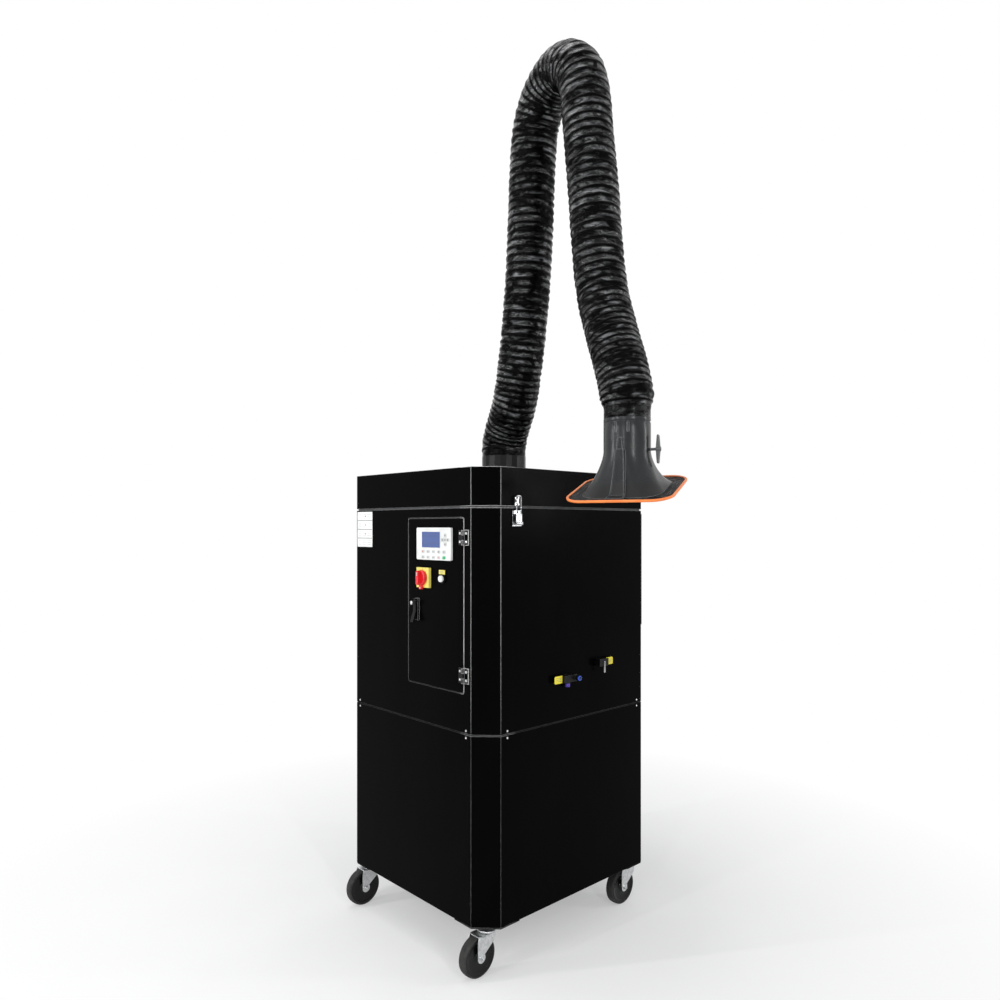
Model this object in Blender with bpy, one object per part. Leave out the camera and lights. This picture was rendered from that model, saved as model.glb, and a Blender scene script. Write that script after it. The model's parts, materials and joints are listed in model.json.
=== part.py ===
"""Mobile fume extractor: steel filter cabinet on four casters, with a hose-covered suction arm and hood.

Metres, +Z up. The origin is on the floor under the cabinet's centre. -Y is the control door's side.
"""

import math

import bmesh
import bpy
from mathutils import Matrix, Vector

# General clearances and sheet sizes
GAP = 0.0003
CUT_OVERRUN = 0.004
SHEET = 0.002
BEND_FLANGE = 0.022

# Cabinet, three stacked sections with chamfered corners
CABINET_WIDTH = 0.757
CABINET_DEPTH = 0.817
CORNER_CHAMFER = 0.064
PAD_THICKNESS = 0.004
PAD_REACH = 0.142
LOWER_HEIGHT = 0.5766
DECK_THICKNESS = 0.003
SEAM_INSET = 0.003
UPPER_HEIGHT = 0.6857
SEAL_THICKNESS = 0.005
SEAL_WIDTH = 0.014
LID_HEIGHT = 0.1185

# Casters
WHEEL_RADIUS = 0.0625
WHEEL_WIDTH = 0.032
HUB_RADIUS = 0.044
HUB_RECESS = 0.004
AXLE_RADIUS = 0.006
CASTER_TRAIL = 0.040
CASTER_INSET_X = 0.0645
CASTER_INSET_Y = 0.0645
CASTER_HEIGHT = 0.151
CASTER_PLATE_LENGTH = 0.095
CASTER_PLATE_WIDTH = 0.067
CASTER_PLATE_THICKNESS = 0.004
SWIVEL_RADIUS = 0.026
SWIVEL_HEIGHT = 0.010
KING_PIN_RADIUS = 0.006
FORK_SHEET = 0.003
FORK_WIDTH = 0.046
FORK_LEG_WIDTH = 0.030

# Control door, flush in the front face and hinged on its right edge
DOOR_LEFT = -0.003
DOOR_RIGHT = 0.283
DOOR_LOW = 0.698
DOOR_TOP = 1.237
DOOR_GAP = 0.002
DOOR_CORNER = 0.008
DOOR_RETURN = 0.012
HINGE_LENGTH = 0.046
HINGE_LEAF = 0.0225
HINGE_LEAF_THICKNESS = 0.002
HINGE_KNUCKLE = 0.0045
HINGE_PIN = 0.0022
HINGE_STANDOFF = 0.005
HINGE_HEIGHTS = (0.7547, 1.175)
HINGE_SCREW_PITCH = 0.026
HINGE_SCREW_HEAD = 0.0036
ENCLOSURE_MARGIN = 0.016
ENCLOSURE_DEPTH = 0.118
GEAR_PLATE = 0.002

# Display on the control door
DISPLAY_X = 0.1416
DISPLAY_DROP = 0.083
DISPLAY_SIZE = (0.174, 0.102)
DISPLAY_BEZEL = 0.007
DISPLAY_BODY_MARGIN = 0.007
DISPLAY_BODY_DEPTH = 0.034
SCREEN_SIZE = (0.094, 0.050)
SCREEN_OFFSET = (-0.014, 0.013)
SCREEN_RECESS = 0.0015
SCREEN_THICKNESS = 0.001
KEY_SIZE = (0.011, 0.008)
KEY_RISE = 0.0008
KEY_PITCH = (0.027, 0.018)

# Isolator and pushbutton on the control door
ISOLATOR_X = 0.088
ISOLATOR_DROP = 0.192
ISOLATOR_PLATE = 0.064
ISOLATOR_PLATE_THICKNESS = 0.010
ISOLATOR_BODY = 0.046
ISOLATOR_BODY_DEPTH = 0.040
ISOLATOR_SPINDLE = 0.0045
HANDLE_RADIUS = 0.024
HANDLE_DEPTH = 0.024
HANDLE_GRIP_WIDTH = 0.014
HANDLE_TAB = 0.011
BUTTON_X = 0.180
BUTTON_DROP = 0.192
BEZEL_RADIUS = 0.0145
BEZEL_HEIGHT = 0.006
BARREL_RADIUS = 0.011
BARREL_DEPTH = 0.036
BUTTON_RADIUS = 0.0105
BUTTON_RISE = 0.006
BUTTON_TRAVEL = 0.003
BUTTON_STEM = 0.006
BUTTON_STEM_DEPTH = 0.014
BEZEL_FLOOR = 0.001
LEGEND_SIZE = (0.030, 0.014)

# Door lock with a swing lever
LOCK_X = 0.047
LOCK_DROP = 0.262
LOCK_LENGTH = 0.070
LOCK_WIDTH = 0.022
LOCK_RISE = 0.006
LOCK_PIVOT_SETBACK = 0.013
LOCK_SPINDLE = 0.006
LEVER_WIDTH = 0.014
LEVER_THICKNESS = 0.006
LEVER_KICK = 0.012
CAM_LENGTH = 0.058
CAM_WIDTH = 0.016
CAM_THICKNESS = 0.002
CAM_SETBACK = 0.014

# Toggle latches over the lid seam
LATCH_Y = -0.279
LATCH_BASE = (0.038, 0.048)
LATCH_BASE_THICKNESS = 0.002
LATCH_DROP = 0.056
LATCH_PIVOT_RISE = 0.008
LATCH_PIVOT_OUT = 0.010
LATCH_LEVER_WIDTH = 0.024
LATCH_LEVER_LENGTH = 0.030
LATCH_LEVER_THICKNESS = 0.003
LATCH_BAIL_WIDTH = 0.018
LATCH_WIRE = 0.0022
KEEPER_WIDTH = 0.010
KEEPER_HEIGHT = 0.026
KEEPER_RISE = 0.007

# Lid hinge along the rear top edge
LID_HINGE_X = (-0.20, 0.20)
LID_HINGE_LENGTH = 0.070
LID_HINGE_LEAF = 0.0135

# Rear service door and dust drawer
SERVICE_LOW = 0.856
SERVICE_TOP = 1.254
SERVICE_STANDOFF = 0.0010
SERVICE_HINGE_OUT = 0.0058
SERVICE_KNUCKLE = 0.004
SERVICE_KNUCKLE_LENGTH = 0.060
SERVICE_OPENING_WIDTH = 0.590
SERVICE_OPENING_MARGIN = 0.020
DRAWER_WIDTH = 0.560
DRAWER_LOW = 0.600
DRAWER_HEIGHT = 0.220
DRAWER_DEPTH = 0.380
DRAWER_SHEET = 0.0015
DRAWER_FRONT_LAP = 0.014
RUNNER_WIDTH = 0.020
RUNNER_GUARD = 0.020
PULL_LENGTH = 0.120
PULL_RADIUS = 0.005
PULL_RISE = 0.034

# Filter chamber
TUBE_SHEET_Y = -0.030
CARTRIDGE_RADIUS = 0.148
CARTRIDGE_PLEAT = 0.010
CARTRIDGE_BORE = 0.090
CARTRIDGE_LENGTH = 0.340
CARTRIDGE_CAP = 0.012
CARTRIDGE_X = 0.168
CARTRIDGE_Z = 1.060
CARTRIDGE_PLEATS = 12
RECEIVER_RADIUS = 0.045
RECEIVER_LENGTH = 0.480
RECEIVER_Y = -0.330
RECEIVER_FOOT = 0.006
VALVE_RADIUS = 0.024
VALVE_HEIGHT = 0.050
BLOW_PIPE = 0.013
BLOW_PIPE_Y = -0.225
NOZZLE_END_Y = -0.060

# Fan and motor in the lower cabinet
FAN_Y = -0.160
FAN_INLET_RADIUS = 0.100
SCROLL_START = 0.165
SCROLL_END = 0.215
SCROLL_HEIGHT = 0.130
SCROLL_TONGUE_DEG = 60
IMPELLER_RADIUS = 0.148
IMPELLER_CLEARANCE = 0.012
IMPELLER_PLATE = 0.003
IMPELLER_HUB = 0.024
BLADE_COUNT = 8
BLADE_THICKNESS = 0.002
BLADE_INNER = 0.085
SHAFT_RADIUS = 0.012
SHAFT_DEPTH = 0.045
MOTOR_RADIUS = 0.095
MOTOR_LENGTH = 0.230
MOTOR_FLANGE = 0.115
MOTOR_FLANGE_THICKNESS = 0.010
MOTOR_BORE_DEPTH = 0.055
FIN_COUNT = 12
FIN_DEPTH = 0.010
OUTLET_WIDTH = 0.118
OUTLET_HEIGHT = 0.108
OUTLET_SLOTS = 6
OUTLET_SLOT_SHARE = 0.6
GLAND_X = -0.220
GLAND_HEIGHT = 0.110
GLAND_RADIUS = 0.016
GLAND_BORE = 0.006

# Compressed-air fittings on the right side
INLET_Y = -0.058
INLET_HEIGHT = 0.717
INLET_BODY = (0.060, 0.022)
DRAIN_Y = 0.110
DRAIN_HEIGHT = 0.750
DRAIN_BODY = (0.044, 0.024)
FITTING_RISE = 0.024
PORT_RADIUS = 0.008
NIPPLE_RADIUS = 0.009
TAG_SIZE = (0.030, 0.023)
TAG_THICKNESS = 0.0015
TAG_NECK = 0.006
DRAIN_LEVER_LENGTH = 0.034
DRAIN_LEVER_WIDTH = 0.008
DRAIN_LEVER_THICKNESS = 0.002
DRAIN_STEM = 0.003

# Suction arm: where it stands on the lid, and the plane it hangs in
DUCT_Y = 0.022
ARM_AZIMUTH = math.radians(-15.0)
DUCT_RADIUS = 0.075
DUCT_WALL = 0.002
DUCT_FLANGE_RADIUS = 0.105
DUCT_FLANGE_THICKNESS = 0.003
DUCT_RISE = 0.060
SLEEVE_RADIUS = 0.0805
SLEEVE_WALL = 0.0025
SPIGOT_RADIUS = 0.0745
SLEEVE_STEP = 0.066
SLEEVE_VISIBLE = 0.076
SLEEVE_TOP = 0.097
SLEEVE_BRIDGE = 0.010

# Arm pivots, (reach from the duct's axis, height above the lid)
LOWER_PIVOT = (0.055, 0.185)
ELBOW_LOWER_PIVOT = (0.215, 1.095)
ELBOW_OUTER_PIVOT = (0.515, 1.095)
WRIST_PIVOT = (0.715, 0.215)
LINK_SPACING = 0.030
LINK_HALF_WIDTH = 0.009
LINK_THICKNESS = 0.012
ROD_HALF_WIDTH = 0.0075
ROD_THICKNESS = 0.005
BRACKET_THICKNESS = 0.005
BRACKET_CLEARANCE = 0.001
PIVOT_PIN = 0.004
PIVOT_BOSS = 0.011
ELBOW_TUBE = 0.009

# Ribbed hose; its route is (reach, height above the lid)
HOSE_RADIUS = 0.0775
HOSE_RIB = 0.0045
HOSE_WALL = 0.0025
HOSE_EASE = 0.002
HOSE_PITCH = 0.029
HOSE_BASE_TAPER = 0.140
HOSE_CUFF_TAPER = 0.060
HOSE_CUFF_BAND = 0.040
HOSE_SIDES = 8
HOSE_SPLIT_SHARES = (0.40, 0.585)
HOSE_ROUTE = (
    (0.000, 0.076), (0.000, 0.097), (0.000, 0.118), (0.022, 0.168), (0.056, 0.218), (0.085, 0.272),
    (0.116, 0.372), (0.142, 0.474), (0.161, 0.576), (0.177, 0.677), (0.188, 0.778),
    (0.197, 0.879), (0.203, 0.980), (0.212, 1.080), (0.232, 1.180), (0.285, 1.255),
    (0.360, 1.289), (0.435, 1.284), (0.498, 1.232), (0.532, 1.145), (0.547, 1.034),
    (0.562, 0.934), (0.575, 0.838), (0.586, 0.744), (0.597, 0.650), (0.612, 0.556),
    (0.638, 0.462), (0.677, 0.364), (0.717, 0.270), (0.739, 0.200), (0.743, 0.165),
    (0.743, 0.145), (0.743, 0.124),
)

# Hood on the arm's end
HOOD_REACH = 0.743
HOOD_TURN = math.radians(21.9)
NECK_RADIUS = 0.0667
HOOD_WALL = 0.003
NECK_STEP = 0.124
NECK_TOP = 0.145
NECK_SPIGOT = 0.0605
FLARE_START = 0.030
RIM_DROP = 0.073
RIM_HALF_LENGTH = 0.150
RIM_HALF_WIDTH = 0.130
RIM_CORNER = 0.055
RIM_TILT = math.radians(17.6)
HOOD_SIDES = 20
FLARE_STEPS = 6
TRIM_HEIGHT = 0.012
TRIM_WIDTH = 0.007
FIN_TOP = 0.078
FIN_RISE = 0.012
FIN_TOP_WIDTH = 0.008
FIN_FOOT_WIDTH = 0.024
HOOD_PIVOT = 0.112
GIMBAL_HUB = 0.013
GIMBAL_HEIGHT = 0.014
GIMBAL_BAR = 0.012
GIMBAL_PIN = 0.004
SPINDLE_RADIUS = 0.005
SPINDLE_HEAD = 0.009
SPINDLE_HEAD_HEIGHT = 0.004
DAMPER_HEIGHT = 0.035
DAMPER_CLEARANCE = 0.003
DAMPER_DISC = 0.0025
DAMPER_SHAFT = 0.004
KNOB_REACH = 0.089
KNOB_LENGTH = 0.080
KNOB_THICKNESS = 0.010
KNOB_END_WIDTH = 0.018
KNOB_WAIST = 0.006

# Heights that follow
LOWER_BASE = CASTER_HEIGHT + PAD_THICKNESS
LOWER_TOP = LOWER_BASE + LOWER_HEIGHT
DECK_LOW = LOWER_TOP + GAP
DECK_TOP = DECK_LOW + DECK_THICKNESS
UPPER_LOW = DECK_TOP + GAP
UPPER_TOP = UPPER_LOW + UPPER_HEIGHT
SEAL_LOW = UPPER_TOP + GAP
SEAL_TOP = SEAL_LOW + SEAL_THICKNESS
LID_LOW = SEAL_TOP + GAP
LID_TOP = LID_LOW + LID_HEIGHT
HALF_WIDTH = CABINET_WIDTH / 2
HALF_DEPTH = CABINET_DEPTH / 2
FRONT = -HALF_DEPTH
REAR = HALF_DEPTH
TUBE_SHEET_TOP = UPPER_TOP - SHEET - GAP
SCROLL_TOP = LOWER_TOP - SHEET - GAP
SCROLL_LOW = SCROLL_TOP - SCROLL_HEIGHT
SEAM_MIDDLE = (UPPER_TOP + LID_LOW) / 2
DISPLAY_HEIGHT = DOOR_TOP - DISPLAY_DROP
ISOLATOR_HEIGHT = DOOR_TOP - ISOLATOR_DROP
BUTTON_HEIGHT = DOOR_TOP - BUTTON_DROP
LOCK_TOP = DOOR_TOP - LOCK_DROP
LOCK_LOW = LOCK_TOP - LOCK_LENGTH

ARM_OUT = Vector((math.cos(ARM_AZIMUTH), math.sin(ARM_AZIMUTH), 0))
ARM_SIDE = Vector((-math.sin(ARM_AZIMUTH), math.cos(ARM_AZIMUTH), 0))
DUCT_AXIS = Vector((0, DUCT_Y, 0))
HOOD_LONG = Vector((math.cos(HOOD_TURN), math.sin(HOOD_TURN), 0))
HOOD_FAR = Vector((-math.sin(HOOD_TURN), math.cos(HOOD_TURN), 0))
UP = Vector((0, 0, 1))


# Scene helpers

def clear_scene():
    for item in list(bpy.data.objects):
        bpy.data.objects.remove(item, do_unlink=True)


def material(name, colour, roughness, metallic=0.0):
    """Return the named Principled BSDF material, made once."""
    found = bpy.data.materials.get(name)
    if found:
        return found
    made = bpy.data.materials.new(name)
    made.use_nodes = True
    shader = made.node_tree.nodes["Principled BSDF"]
    shader.inputs["Base Color"].default_value = (*colour, 1.0)
    shader.inputs["Roughness"].default_value = roughness
    shader.inputs["Metallic"].default_value = metallic
    made.diffuse_color = (*colour, 1.0)
    return made


def black_paint():
    return material("black_powder_coat", (0.010, 0.010, 0.011), 0.32)


def galvanised():
    return material("galvanised_steel", (0.55, 0.56, 0.57), 0.38, 1.0)


def chrome():
    return material("chromed_steel", (0.78, 0.78, 0.80), 0.14, 1.0)


def dark_zinc():
    return material("black_zinc", (0.06, 0.06, 0.065), 0.35, 0.9)


def black_plastic():
    return material("black_plastic", (0.016, 0.016, 0.017), 0.40)


def hood_plastic():
    return material("dark_grey_plastic", (0.055, 0.058, 0.062), 0.42)


def hose_fabric():
    return material("black_coated_fabric", (0.012, 0.012, 0.013), 0.34)


def orange_rubber():
    return material("orange_rubber", (0.86, 0.17, 0.02), 0.50)


def tyre_rubber():
    return material("grey_tyre_rubber", (0.045, 0.047, 0.050), 0.70)


def white_plastic():
    return material("white_plastic", (0.82, 0.83, 0.82), 0.45)


def screen_blue():
    return material("blue_screen", (0.035, 0.075, 0.30), 0.18)


def safety_red():
    return material("red_plastic", (0.72, 0.010, 0.018), 0.32)


def safety_yellow():
    return material("yellow_plastic", (0.86, 0.74, 0.10), 0.42)


def filter_media():
    return material("filter_paper", (0.72, 0.72, 0.68), 0.85)


def seal_rubber():
    return material("seal_rubber", (0.03, 0.03, 0.03), 0.80)


def brass():
    return material("brass", (0.62, 0.50, 0.26), 0.30, 1.0)


def motor_paint():
    return material("grey_motor_paint", (0.20, 0.23, 0.26), 0.50)


def joint_empty(name, place, parent=None):
    """An empty on a joint's axis, which carries the pieces that move there."""
    empty = bpy.data.objects.new(name, None)
    bpy.context.collection.objects.link(empty)
    base = parent.matrix_world.translation if parent else Vector()
    empty.parent = parent
    empty.location = Vector(place) - base
    bpy.context.view_layer.update()
    return empty


def mesh_object(name, bm, joint=None):
    bmesh.ops.recalc_face_normals(bm, faces=bm.faces)
    if joint:
        bmesh.ops.transform(bm, matrix=joint.matrix_world.inverted(), verts=bm.verts)
    data = bpy.data.meshes.new(name)
    bm.to_mesh(data)
    bm.free()
    made = bpy.data.objects.new(name, data)
    bpy.context.collection.objects.link(made)
    made.parent = joint
    return made


def add_boolean(target, tool, operation):
    tool.hide_render = True
    tool.display_type = "WIRE"
    modifier = target.modifiers.new(operation.lower(), "BOOLEAN")
    modifier.object = tool
    modifier.operation = operation
    modifier.solver = "EXACT"


def piece(name, bm, finish, joint=None, joins=(), cuts=(), smooth_deg=0):
    """One sub-part: a body, what is fused to it and what is cut from it."""
    made = mesh_object(name, bm, joint)
    made.data.materials.append(finish)
    for index, tool in enumerate(joins):
        add_boolean(made, mesh_object(f"{name}_join_{index}", tool, joint), "UNION")
    for index, tool in enumerate(cuts):
        add_boolean(made, mesh_object(f"{name}_cutter_{index}", tool, joint), "DIFFERENCE")
    if smooth_deg:
        made.data.shade_smooth()
        made.data.set_sharp_from_angle(angle=math.radians(smooth_deg))
    return made


# Shape helpers, which add closed bodies to a bmesh in world coordinates

def solid(*makers):
    """A new bmesh filled by the given calls, each (function, arguments...)."""
    bm = bmesh.new()
    for maker, *values in makers:
        maker(bm, *values)
    return bm


def stack(bm, rings, closed=False):
    """Skin rings of equally many points into one body; closed joins the last ring to the first."""
    loops = [[bm.verts.new(point) for point in ring] for ring in rings]
    count = len(loops[0])
    pairs = list(zip(loops, loops[1:]))
    if closed:
        pairs.append((loops[-1], loops[0]))
    for low, high in pairs:
        for index in range(count):
            after = (index + 1) % count
            bm.faces.new((low[index], low[after], high[after], high[index]))
    if not closed:
        bm.faces.new(list(reversed(loops[0])))
        bm.faces.new(loops[-1])


def box(bm, low, high):
    corners = ((low[0], low[1]), (high[0], low[1]), (high[0], high[1]), (low[0], high[1]))
    stack(bm, [[(x, y, z) for x, y in corners] for z in (low[2], high[2])])


def prism(bm, outline, axis, start, end):
    """Extrude an outline along X (outline in Y, Z), Y (in X, Z) or Z (in X, Y)."""
    place = {
        "X": lambda a, b, c: (c, a, b),
        "Y": lambda a, b, c: (a, c, b),
        "Z": lambda a, b, c: (a, b, c),
    }[axis]
    stack(bm, [[place(a, b, c) for a, b in outline] for c in (start, end)])


def axis_frame(origin, direction):
    turn = Vector(direction).to_track_quat("Z", "Y").to_matrix().to_4x4()
    return Matrix.Translation(origin) @ turn


def turned(bm, profile, sides, origin, direction=UP, closed=False):
    """Turn a (radius, height) profile about a direction; a closed profile has a bore."""
    frame = axis_frame(origin, direction)
    angles = [2 * math.pi * (index + 0.5) / sides for index in range(sides)]
    rings = [
        [frame @ Vector((r * math.cos(a), r * math.sin(a), h)) for a in angles] for r, h in profile
    ]
    stack(bm, rings, closed)


def rod(bm, start, end, radius, sides):
    length = (Vector(end) - Vector(start)).length
    turned(bm, ((radius, 0), (radius, length)), sides, start, Vector(end) - Vector(start))


def pipe(bm, start, end, outer, inner, sides):
    length = (Vector(end) - Vector(start)).length
    profile = ((outer, 0), (outer, length), (inner, length), (inner, 0))
    turned(bm, profile, sides, start, Vector(end) - Vector(start), True)


def bore_radius(radius, sides, clearance=GAP):
    """The corner radius of a faceted hole that clears a round of the given radius."""
    return (radius + clearance) / math.cos(math.pi / sides)


def sweep_rings(points, radii, sides):
    """Rings of a round section carried along a path without twist."""
    points = [Vector(point) for point in points]
    tangents = []
    for index in range(len(points)):
        before = points[max(index - 1, 0)]
        after = points[min(index + 1, len(points) - 1)]
        tangents.append((after - before).normalized())
    normal = tangents[0].orthogonal().normalized()
    rings = []
    for point, tangent, radius in zip(points, tangents, radii):
        normal = (normal - normal.dot(tangent) * tangent).normalized()
        side = tangent.cross(normal)
        angles = [2 * math.pi * index / sides for index in range(sides)]
        rings.append([point + radius * (math.cos(a) * normal + math.sin(a) * side) for a in angles])
    return rings


def bent_rod(bm, points, radius, sides):
    stack(bm, sweep_rings(points, [radius] * len(points), sides))


def cabinet_outline(inset=0.0):
    """The chamfered outline of the cabinet, drawn in by an inset."""
    half_x = HALF_WIDTH - inset
    half_y = HALF_DEPTH - inset
    leg = CORNER_CHAMFER - inset * (2 - math.sqrt(2))
    return [
        (-half_x + leg, -half_y), (half_x - leg, -half_y), (half_x, -half_y + leg),
        (half_x, half_y - leg), (half_x - leg, half_y), (-half_x + leg, half_y),
        (-half_x, half_y - leg), (-half_x, -half_y + leg),
    ]


def cabinet_shell(bm, stations, closed=False):
    """A shell through (inset, height) stations of the cabinet's outline."""
    stack(bm, [[(x, y, z) for x, y in cabinet_outline(inset)] for inset, z in stations], closed)


def arm_point(reach, height, side=0.0):
    """A point in the arm's plane: reach from the duct's axis, height above the lid."""
    return DUCT_AXIS + reach * ARM_OUT + side * ARM_SIDE + (LID_TOP + height) * UP


def hood_point(along, far, height):
    """A point in the hood's frame, at a height above the lid."""
    centre = arm_point(HOOD_REACH, height)
    return centre + along * HOOD_LONG + far * HOOD_FAR


def on_front(x, height, out=0.0):
    """A point on the front face, at a height above the lower cabinet's base."""
    return Vector((x, FRONT - out, LOWER_BASE + height))


# Casters

def caster_centre(side_x, side_y):
    return Vector((side_x * (HALF_WIDTH - CASTER_INSET_X), side_y * (HALF_DEPTH - CASTER_INSET_Y), 0))


def plate_outline(centre, side_x, side_y):
    """A caster plate turned to lie along the cabinet's chamfer."""
    along = Vector((side_x, -side_y, 0)).normalized() * CASTER_PLATE_LENGTH / 2
    across = Vector((side_x, side_y, 0)).normalized() * CASTER_PLATE_WIDTH / 2
    corners = (along + across, across - along, -along - across, along - across)
    return [(centre.x + corner.x, centre.y + corner.y) for corner in corners]


def add_caster_plates(plates, races):
    """Four bolted mounting plates, each with its upper race and king pin."""
    plate_low = CASTER_HEIGHT - GAP - CASTER_PLATE_THICKNESS
    pin_low = -SWIVEL_HEIGHT - GAP - FORK_SHEET - KING_PIN_RADIUS
    race = (
        (KING_PIN_RADIUS, pin_low), (KING_PIN_RADIUS, -SWIVEL_HEIGHT), (SWIVEL_RADIUS, -SWIVEL_HEIGHT),
        (SWIVEL_RADIUS, 0), (SWIVEL_RADIUS - SHEET, SHEET),
    )
    for side_x in (-1, 1):
        for side_y in (-1, 1):
            centre = caster_centre(side_x, side_y)
            outline = plate_outline(centre, side_x, side_y)
            prism(plates, outline, "Z", plate_low, CASTER_HEIGHT + PAD_THICKNESS / 2)
            turned(races, race, 12, centre + plate_low * UP)


def caster(label, side_x, side_y):
    """A swivel fork with its axle, and the wheel on it."""
    centre = caster_centre(side_x, side_y)
    axle = centre + Vector((0, -CASTER_TRAIL, WHEEL_RADIUS))
    crown_top = CASTER_HEIGHT - 2 * GAP - CASTER_PLATE_THICKNESS - SWIVEL_HEIGHT
    swivel = joint_empty(f"caster_swivel_{label}", centre + crown_top * UP)
    spin = joint_empty(f"wheel_axle_{label}", axle, swivel)
    half = FORK_WIDTH / 2
    crown = solid((
        pipe, centre + (crown_top - FORK_SHEET) * UP, centre + crown_top * UP,
        half * math.sqrt(2), bore_radius(KING_PIN_RADIUS, 12), 12,
    ))
    legs = bmesh.new()
    leg = (
        (centre.y + half, crown_top - FORK_SHEET / 2),
        (centre.y - half, crown_top - FORK_SHEET / 2),
        (axle.y - FORK_LEG_WIDTH / 2, axle.z + FORK_LEG_WIDTH / 2),
        (axle.y - FORK_LEG_WIDTH / 3, axle.z - FORK_LEG_WIDTH / 2),
        (axle.y + FORK_LEG_WIDTH / 3, axle.z - FORK_LEG_WIDTH / 2),
        (axle.y + FORK_LEG_WIDTH / 2, axle.z + FORK_LEG_WIDTH / 3),
    )
    for side in (-1, 1):
        outer = centre.x + side * half
        prism(legs, leg, "X", min(outer, outer - side * FORK_SHEET), max(outer, outer - side * FORK_SHEET))
    head = half + FORK_SHEET
    bolt = solid((rod, axle - Vector((head, 0, 0)), axle + Vector((head, 0, 0)), AXLE_RADIUS, 10))
    piece(f"caster_fork_{label}", crown, galvanised(), swivel, joins=[legs, bolt], smooth_deg=35)

    wide = WHEEL_WIDTH / 2
    boss = half - FORK_SHEET - GAP
    bore = bore_radius(AXLE_RADIUS, 16)
    rim = HUB_RADIUS - HUB_RECESS
    tread = WHEEL_RADIUS / math.cos(math.pi / 16)
    half_profile = [
        (bore, boss), (bore + 2 * FORK_SHEET, boss), (rim, wide), (tread - HUB_RECESS, wide),
        (tread, wide - HUB_RECESS),
    ]
    profile = half_profile + [(r, -h) for r, h in reversed(half_profile)]
    wheel = solid((turned, profile, 16, axle, Vector((1, 0, 0)), True))
    piece(f"caster_wheel_{label}", wheel, tyre_rubber(), spin, smooth_deg=35)


# Cabinet sections

def corner_pad_outline(side_x, side_y):
    half_x, half_y, leg = HALF_WIDTH, HALF_DEPTH, CORNER_CHAMFER
    outline = (
        (half_x, half_y - PAD_REACH), (half_x, half_y - leg), (half_x - leg, half_y),
        (half_x - PAD_REACH, half_y), (half_x - PAD_REACH, half_y - PAD_REACH),
    )
    return [(side_x * (x - SEAM_INSET / 3), side_y * (y - SEAM_INSET / 3)) for x, y in outline]


def lower_cabinet():
    """The lower section: floor, walls and top flange, welded pads and a rear air outlet."""
    bm = solid((cabinet_shell, (
        (0, LOWER_BASE), (0, LOWER_TOP), (BEND_FLANGE, LOWER_TOP), (BEND_FLANGE, LOWER_TOP - SHEET),
        (SHEET, LOWER_TOP - SHEET), (SHEET, LOWER_BASE + SHEET),
    )))
    pads = bmesh.new()
    for side_x in (-1, 1):
        for side_y in (-1, 1):
            outline = corner_pad_outline(side_x, side_y)
            prism(pads, outline, "Z", CASTER_HEIGHT, LOWER_BASE + SHEET / 2)
    plates, races, openings = bmesh.new(), bmesh.new(), bmesh.new()
    add_caster_plates(plates, races)
    half = OUTLET_WIDTH / 2
    pitch = OUTLET_HEIGHT / OUTLET_SLOTS
    for index in range(OUTLET_SLOTS):
        low = outlet_centre_z() + index * pitch - OUTLET_HEIGHT / 2
        box(
            openings, (outlet_centre_x() - half, REAR - SHEET - CUT_OVERRUN, low),
            (outlet_centre_x() + half, REAR + CUT_OVERRUN, low + OUTLET_SLOT_SHARE * pitch),
        )
    gland = Vector((GLAND_X, REAR - SHEET - CUT_OVERRUN, LOWER_BASE + GLAND_HEIGHT))
    hole = bore_radius(GLAND_RADIUS, 10)
    rod(openings, gland, gland + Vector((0, SHEET + 2 * CUT_OVERRUN, 0)), hole, 10)
    return piece("lower_cabinet", bm, black_paint(), joins=[pads, plates, races], cuts=[openings])


def outlet_centre_x():
    return (SCROLL_END + SCROLL_START * math.cos(math.radians(SCROLL_TONGUE_DEG))) / 2


def outlet_centre_z():
    return SCROLL_TOP - SCROLL_HEIGHT / 2


def deck_plate():
    """The plate between the two sections, with the fan's inlet hole."""
    stations = ((SEAM_INSET, DECK_LOW), (SEAM_INSET, DECK_TOP))
    hole = solid((
        rod, (0, FAN_Y, DECK_LOW - CUT_OVERRUN), (0, FAN_Y, DECK_TOP + CUT_OVERRUN),
        FAN_INLET_RADIUS, 32,
    ))
    return piece("deck_plate", solid((cabinet_shell, stations)), galvanised(), cuts=[hole])


def rounded_rect(low, high, corner, steps=4):
    """A rectangle's outline with round corners, anticlockwise."""
    centres = (
        (high[0] - corner, high[1] - corner, 0), (low[0] + corner, high[1] - corner, 90),
        (low[0] + corner, low[1] + corner, 180), (high[0] - corner, low[1] + corner, 270),
    )
    outline = []
    for x, y, start in centres:
        for index in range(steps + 1):
            angle = math.radians(start + 90 * index / steps)
            outline.append((x + corner * math.cos(angle), y + corner * math.sin(angle)))
    return outline


def door_outline(inset=0.0):
    low = (DOOR_LEFT + inset, LOWER_BASE + DOOR_LOW + inset)
    high = (DOOR_RIGHT - inset, LOWER_BASE + DOOR_TOP - inset)
    return rounded_rect(low, high, DOOR_CORNER)


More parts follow.
